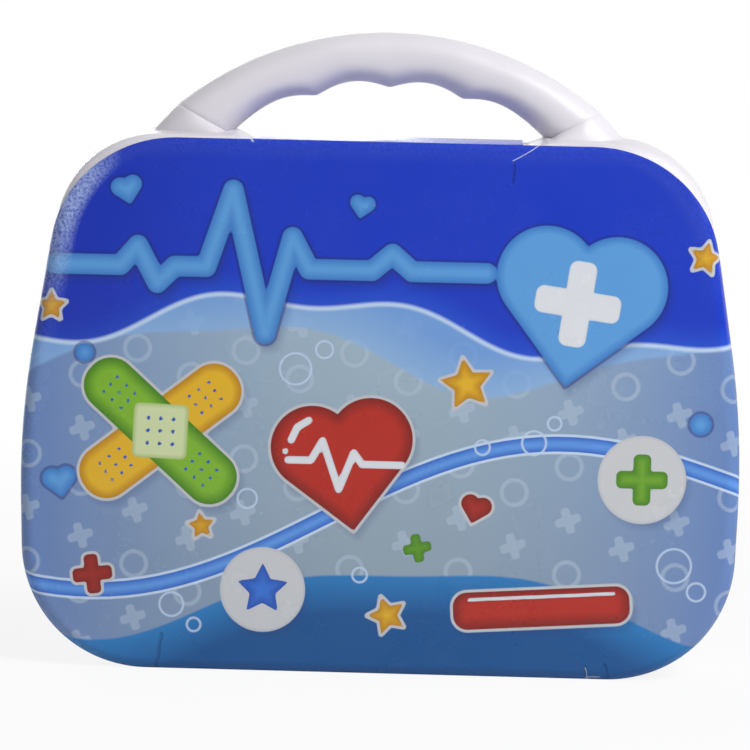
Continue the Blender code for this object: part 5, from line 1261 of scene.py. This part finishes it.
def printed_dial():
    """White polystyrene with a pad-printed ring of three bands and ticks, at angles about the post: flat ink
    with the gloss of the plastic under it."""
    made, tree, shader = new_material("pad_printed_polystyrene_dial")
    place = node(tree, "TexCoord").outputs["Object"]
    from_post = node(tree, "VectorMath", {0: place, 1: tuple(dial_at)}, operation="SUBTRACT")
    x, _, z = node(tree, "SeparateXYZ", {0: from_post.outputs[0]}).outputs
    angle = node(tree, "Math", {0: z, 1: x}, operation="ARCTAN2")
    share = node(tree, "MapRange", {"Value": angle.outputs[0], "From Min": -math.pi, "From Max": math.pi})
    bands = node(tree, "ValToRGB", {"Fac": share.outputs[0]})
    bands.color_ramp.interpolation = "CONSTANT"
    bands.color_ramp.elements[0].color = linear("#2f9fd8")
    bands.color_ramp.elements[1].position = 0.36
    bands.color_ramp.elements[1].color = linear("#3fae6a")
    bands.color_ramp.elements.new(0.69).color = linear("#d8487a")
    squared = node(tree, "VectorMath", {0: from_post.outputs[0], 1: (1.0, 0.0, 1.0)}, operation="MULTIPLY")
    radius = node(tree, "VectorMath", {0: squared.outputs[0]}, operation="LENGTH").outputs["Value"]
    inside = node(tree, "MapRange", {"Value": radius, "From Min": 0.00865, "From Max": 0.0085})
    outside = node(tree, "MapRange", {"Value": radius, "From Min": 0.0049, "From Max": 0.0050})
    ring = node(tree, "Math", {0: inside.outputs[0], 1: outside.outputs[0]}, operation="MULTIPLY")
    turns = node(tree, "Math", {0: share.outputs[0], 1: 24.0}, operation="MULTIPLY")
    tick = node(tree, "Math", {0: turns.outputs[0]}, operation="FRACT")
    tick = node(tree, "Math", {0: tick.outputs[0], 1: 0.10}, operation="LESS_THAN")
    outer_part = node(tree, "Math", {0: radius, 1: 0.0074}, operation="GREATER_THAN")
    tick = node(tree, "Math", {0: tick.outputs[0], 1: outer_part.outputs[0]}, operation="MULTIPLY")
    blank = node(tree, "Math", {0: 1.0, 1: tick.outputs[0]}, operation="SUBTRACT")
    ring = node(tree, "Math", {0: ring.outputs[0], 1: blank.outputs[0]}, operation="MULTIPLY")
    ink = node(tree, "Mix", {0: ring.outputs[0], 6: linear("#e2e4e6"), 7: bands.outputs["Color"]},
               data_type="RGBA")
    tree.links.new(ink.outputs[2], shader.inputs["Base Color"])
    shader.inputs["Roughness"].default_value = 0.22
    return made


dial_back = dial_depth - gap
dial_profile = [(post_top, 0.0003), (post_top, post_radius), (dial_face, post_radius),
                (dial_face, dial_radius), (dial_back, dial_radius), (dial_back, 0.0003)]
dial = lathed(dial_profile, 0.0002, 96, dial_at, axis_y)
add_toy("thermometer_dial", [dial], printed_dial(), 40)
hand_side = [(0.0020, 0.0012, 0.0003), (0.00095, 0.008, 0.0004)]
hand_corners = [(dial_at[0] + end * half, body_z + up, radius, 4)
                for ends, (half, up, radius) in zip(((-1, 1), (1, -1)), hand_side) for end in ends]
hand = slab(hand_corners, soft_levels(body_low + 0.00032, body_low + 0.00118, 0.0002))
collar = sleeve(post_radius + gap, 0.0024, 0.0003, 0.0012, dial_at, axis_y, 0.0002, 40)
add_toy("thermometer_pointer", [collar, hand], red_plastic, 30, "pointer")

# Play capsules. Each is a blue cup that a white half with a neck pushes into, both moulded from
# polystyrene and as glossy as the syringe.
capsule_z = 0.054
capsule_radius = 0.010
capsule_straight = 0.012
cup_bore = 0.0084
neck_reach = 0.0050
bow = np.linspace(0.01, math.pi / 2, 16)
dome = [(capsule_straight + capsule_radius * math.cos(angle), capsule_radius * math.sin(angle))
        for angle in bow]
dome += [(0.0004, capsule_radius), (gap / 2, capsule_radius - 0.00025)]
cup = dome + [(gap / 2, cup_bore), (neck_reach + gap, cup_bore)]
neck = dome + [(gap / 2, cup_bore - gap), (-neck_reach + 0.0004, cup_bore - gap), (-neck_reach, 0.0079)]
for number, centre in ((1, 0.04404), (2, 0.09204)):
    at = (centre, toy_y, capsule_z)
    add_toy("capsule_%d_blue" % number, [turned(cup, 64, at, -axis_x)], blue_plastic)
    add_toy("capsule_%d_white" % number, [turned(neck, 64, at, axis_x)], toy_white)

# Stethoscope. A forked blue yoke carries two blue ear tubes on pins, each with a glossy yellow tip. A hose
# of milky vinyl with a soft shine runs from its stem to a yellow chest piece with a blue disc in its front.
yellow_plastic = moulded_plastic("moulded_polystyrene_yellow", "#e3ae14", "#d49f0c", 0.20)
hose_vinyl = moulded_plastic("extruded_vinyl_hose", "#d4dae1", "#ced6de", 0.30)
headset_x = -0.005
pivot_z = 0.092
pivot_spread = 0.0085
pivots = {"left": (-1, (headset_x - pivot_spread, toy_y, pivot_z)),
          "right": (1, (headset_x + pivot_spread, toy_y, pivot_z))}
yoke_drop = 0.015
yoke_half_depth = 0.0053
yoke_side = [(0.0048, -yoke_drop, 0.0024, 8), (0.015, -0.005, 0.005, 10), (0.015, 0.005, 0.0025, 8)]
pivot_pin_radius = 0.0013
pivot_pin_half = 0.0037
eye_half_depth = 0.0020
slot_radius = 0.0045
mouth_height = 0.008
neck_half = 0.002
neck_half_depth = 0.00185
neck_start = 0.0018
neck_end = 0.0108
neck_soft = 0.0004
tube_radius = 0.0030
tube_span = 0.023
tube_length = 0.074
span_shares = np.array((0.00, 0.28, 0.62, 0.90, 1.00, 0.92, 0.66, 0.38))
length_shares = np.array((0.11, 0.21, 0.36, 0.54, 0.70, 0.85, 0.96, 1.00))
tip_length = 0.011
tip_radius = 0.0055
tip_shares = ((0, 0.05), (0, 0.62), (0.15, 0.80), (0.40, 1), (0.65, 0.98), (0.85, 0.75), (1, 0.35), (1, 0.05))
route_spacing = 0.0012


def smooth_route(stops):
    """Points close together on a smooth curve through the stops, each stretch a cubic of its two stops and
    their neighbours."""
    stops = np.array(stops, float)
    ends = np.concatenate(([stops[0] * 2 - stops[1]], stops, [stops[-1] * 2 - stops[-2]]))
    route = []
    for first, second, third, fourth in zip(ends, ends[1:], ends[2:], ends[3:]):
        count = max(2, round(np.linalg.norm(third - second) / route_spacing))
        t = np.linspace(0, 1, count + 1)[:-1, None]
        bend = (third - first) * t + (first * 2 - second * 5 + third * 4 - fourth) * t ** 2
        route.append(second + (bend + (second * 3 - first - third * 3 + fourth) * t ** 3) / 2)
    return np.concatenate(route + [stops[-1:]])


def tube(route, radius):
    """Rings of one radius square to a flat route in x and z, closed at both ends."""
    lean = np.gradient(route, axis=0)
    lean /= np.hypot(*lean.T)[:, None]
    turn = np.linspace(0, 2 * math.pi, 32, endpoint=False)
    points = np.empty((len(route), len(turn), 3))
    points[:, :, 0] = route[:, :1] - lean[:, 1:] * radius * np.cos(turn)
    points[:, :, 1] = toy_y + radius * np.sin(turn)
    points[:, :, 2] = route[:, 1:] + lean[:, :1] * radius * np.cos(turn)
    return lattice(points, True, False, True)


yoke_corners = [(headset_x + end * half, pivot_z + up, radius, steps)
                for end, side in ((-1, yoke_side[:1]), (1, yoke_side), (-1, yoke_side[:0:-1]))
                for half, up, radius, steps in side]
yoke_levels = soft_levels(toy_y - yoke_half_depth, toy_y + yoke_half_depth, 0.0011)
yoke_mesh = make_mesh("yoke", [slab(yoke_corners, yoke_levels)])
slot_half = eye_half_depth + gap
slot_profile = [(-slot_half, slot_radius), (slot_half, slot_radius)]
pivot_pin_profile = [(-pivot_pin_half, pivot_pin_radius), (pivot_pin_half, pivot_pin_radius)]
slots, mouths, pins = [], [], []
for _, pivot in pivots.values():
    slots.append(turned(slot_profile, 64, pivot, axis_y))
    mouths.append(box((pivot[0] - slot_radius, toy_y - slot_half, pivot_z),
                      (pivot[0] + slot_radius, toy_y + slot_half, pivot_z + mouth_height)))
    pins.append(turned(pivot_pin_profile, 32, pivot, axis_y))
yoke_mesh = make_mesh("yoke_with_pins", [mesh_part(carve(yoke_mesh, slots + mouths))] + pins)
add_toy("stethoscope_yoke", yoke_mesh, blue_plastic, 30)

for name, (end, pivot) in pivots.items():
    stops = np.stack((pivot[0] + end * tube_span * span_shares, pivot_z + tube_length * length_shares), 1)
    route = smooth_route(stops)
    eye = sleeve(pivot_pin_radius + gap, 0.0042, -eye_half_depth, eye_half_depth, pivot, axis_y, 0.0004)
    neck_corners = rectangle((pivot[0] - neck_half, pivot_z + neck_start),
                             (pivot[0] + neck_half, pivot_z + neck_end), neck_soft, 4)
    ear_neck = slab(neck_corners, soft_levels(toy_y - neck_half_depth, toy_y + neck_half_depth, neck_soft))
    add_toy("ear_tube_" + name, [tube(route, tube_radius), eye, ear_neck], blue_plastic,
            body="ear_" + name)
    way = (route[-1] - route[-2]) / np.linalg.norm(route[-1] - route[-2])
    tip_profile = [(gap + tip_length * along, tip_radius * wide) for along, wide in tip_shares]
    tip = lathed(tip_profile, 0.0012, 48, (route[-1][0], toy_y, route[-1][1]), (way[0], 0.0, way[1]))
    add_toy("ear_tip_" + name, [tip], yellow_plastic, 60, "ear_" + name)

chest_at = np.array((0.078, toy_y, 0.112))
chest_radius = 0.018
chest_half = 0.0055
chest_shares = ((1, 0.01), (1, 0.45), (0.75, 0.72), (0, 0.86), (-0.35, 1), (-0.85, 1), (-1, 0.95))
disc_radius = 0.0140
disc_back = -0.0039
stem_radius = 0.0038
stem_reach = 0.027
chest_profile = [(chest_half * along, chest_radius * wide) for along, wide in chest_shares]
chest_profile += [(-chest_half, disc_radius + gap), (disc_back + gap, disc_radius + gap),
                  (disc_back + gap, 0.0002)]
stem_profile = [(0.009, stem_radius), (stem_reach - 0.0015, stem_radius), (stem_reach, 0.0034),
                (stem_reach, 0.0002)]
disc_profile = [(gap - chest_half, 0.0002), (gap - chest_half, 0.0134), (disc_back, disc_radius),
                (disc_back, 0.0002)]
chest = lathed(chest_profile, 0.0009, 96, chest_at, axis_y)
stem = lathed(stem_profile, 0.0006, 48, chest_at, axis_z)
add_toy("chest_piece", [chest, stem], yellow_plastic)
add_toy("chest_disc", [lathed(disc_profile, 0.0004, 96, chest_at, axis_y)], blue_plastic)

# The hose leaves the yoke's stem, runs along its low line, rises beside the chest piece and comes down on
# that one's stem. A bend starts its reach away from the corner, and passes inside it.
hose_radius = 0.0026
hose_low = 0.069
hose_top = 0.157
hose_rise = 0.051
bend_reach = 0.015
top_bend_reach = 0.018
bend_inside = 0.0038
yoke_end = pivot_z - yoke_drop
chest_x, _, chest_z = chest_at
stem_end = chest_z + stem_reach + gap
hose_stops = [
    (headset_x, yoke_end - gap), (headset_x, yoke_end - hose_radius),
    (headset_x + bend_inside, hose_low + hose_radius / 2), (headset_x + bend_reach, hose_low),
    (hose_rise - bend_reach, hose_low), (hose_rise - bend_inside, hose_low + bend_inside),
    (hose_rise, hose_low + bend_reach), (hose_rise, chest_z), (hose_rise, hose_top - top_bend_reach),
    (hose_rise + bend_inside, hose_top - 2 * bend_inside), (hose_rise + bend_reach, hose_top),
    (chest_x - bend_inside / 2, hose_top - 2 * bend_inside), (chest_x, stem_end + hose_radius),
    (chest_x, stem_end),
]
add_toy("stethoscope_hose", [tube(smooth_route(hose_stops), hose_radius)], hose_vinyl, 60)

# Floor and backdrop, three soft lamps and the camera. The camera stands at the photograph's angle, a
# little to the right and above, with the case turned by a little over a degree in the picture.
floor_reach = 40
floor_corners = [(x * floor_reach, y * floor_reach, 0) for x, y in ((-1, -1), (1, -1), (1, 1), (-1, 1))]
ground = bpy.data.meshes.new("floor")
ground.from_pydata(floor_corners, [], [(0, 1, 2, 3)])
floor = bpy.data.objects.new("floor", ground)
bpy.context.scene.collection.objects.link(floor)

# Matt white paper. The camera sees it mostly as a plain white, and as that alone away from the case, so that
# only the shadow close to the case shows.
floor_paper, floor_tree, floor_shader = new_material("white_paper_floor")
floor_shader.inputs["Base Color"].default_value = (0.88, 0.88, 0.88, 1.0)
floor_shader.inputs["Roughness"].default_value = 0.9
seen = node(floor_tree, "LightPath").outputs["Is Camera Ray"]
glow = node(floor_tree, "Emission", {"Color": (1.0, 1.0, 1.0, 1.0), "Strength": 1.0})
floor_place = node(floor_tree, "TexCoord").outputs["Object"]
from_case = node(floor_tree, "VectorMath", {0: floor_place}, operation="LENGTH").outputs["Value"]
paper_share = node(floor_tree, "MapRange", {"Value": from_case, "From Min": 0.15, "From Max": 0.9,
                                            "To Min": 0.86, "To Max": 1.0})
share_seen = node(floor_tree, "Math", {0: seen, 1: paper_share.outputs[0]}, operation="MULTIPLY")
floor_mix = node(floor_tree, "MixShader", {0: share_seen.outputs[0], 1: floor_shader.outputs[0],
                                           2: glow.outputs[0]})
floor_tree.links.new(floor_mix.outputs[0], floor_tree.nodes["Material Output"].inputs["Surface"])
ground.materials.append(floor_paper)

# The room lights the case softly. A white backdrop behind it shows to the camera and in what it mirrors.
world = bpy.data.worlds.new("studio")
bpy.context.scene.world = world
world.use_nodes = True
sky_tree = world.node_tree
soft_light = sky_tree.nodes["Background"]
soft_light.inputs["Color"].default_value = (0.97, 0.98, 1.0, 1.0)
soft_light.inputs["Strength"].default_value = 0.27
backdrop = node(sky_tree, "Background", {"Color": (1.0, 1.0, 1.0, 1.0), "Strength": 1.0})
path = node(sky_tree, "LightPath")
_, run_back, _ = node(sky_tree, "SeparateXYZ", {0: node(sky_tree, "TexCoord").outputs["Generated"]}).outputs
behind = node(sky_tree, "MapRange", {"Value": run_back, "From Min": 0.0, "From Max": 0.35})
glossy_ray = path.outputs["Is Glossy Ray"]
mirrored_ray = node(sky_tree, "Math", {0: glossy_ray, 1: behind.outputs[0]}, operation="MULTIPLY")
white_seen = mirrored_ray.outputs[0]
for ray in ("Is Camera Ray", "Is Transmission Ray"):
    white_seen = node(sky_tree, "Math", {0: path.outputs[ray], 1: white_seen}, operation="MAXIMUM").outputs[0]
sky_mix = node(sky_tree, "MixShader", {0: white_seen, 1: soft_light.outputs[0], 2: backdrop.outputs[0]})
sky_tree.links.new(sky_mix.outputs[0], sky_tree.nodes["World Output"].inputs["Surface"])


def area_lamp(name, at, size, power):
    """A soft lamp of a width and height at a point, which faces the case."""
    lamp = bpy.data.lights.new(name, "AREA")
    lamp.shape, lamp.size, lamp.size_y, lamp.energy = "RECTANGLE", size[0], size[1], power
    holder = bpy.data.objects.new(name, lamp)
    bpy.context.scene.collection.objects.link(holder)
    holder.location = at
    holder.rotation_euler = (Vector((0, 0, 0.1)) - Vector(at)).to_track_quat("-Z", "Y").to_euler()


area_lamp("key_softbox", (0.72, -0.66, 0.95), (0.6, 0.6), 13.8)
area_lamp("back_softbox", (-0.6, 1.6, 0.35), (1.2, 0.7), 8.0)
area_lamp("left_strip", (-1.25, -0.62, 0.62), (0.16, 0.9), 1.0)

azimuth = math.radians(1.5)
elevation = math.radians(4.4)
roll = math.radians(-1.3)
distance = 1.4
target = Vector((-0.0029, 0.0, 0.1034))
lens = bpy.data.cameras.new("camera")
lens.lens, lens.sensor_width = 188.4, 36.0
camera = bpy.data.objects.new("camera", lens)
bpy.context.scene.collection.objects.link(camera)
level = math.cos(elevation)
away = Vector((math.sin(azimuth) * level, -math.cos(azimuth) * level, math.sin(elevation)))
facing = (-away).to_track_quat("-Z", "Y").to_matrix().to_4x4()
camera.matrix_world = Matrix.Translation(target + away * distance) @ facing @ Matrix.Rotation(-roll, 4, "Z")
bpy.context.scene.camera = camera
bpy.context.scene.view_settings.view_transform = "Standard"
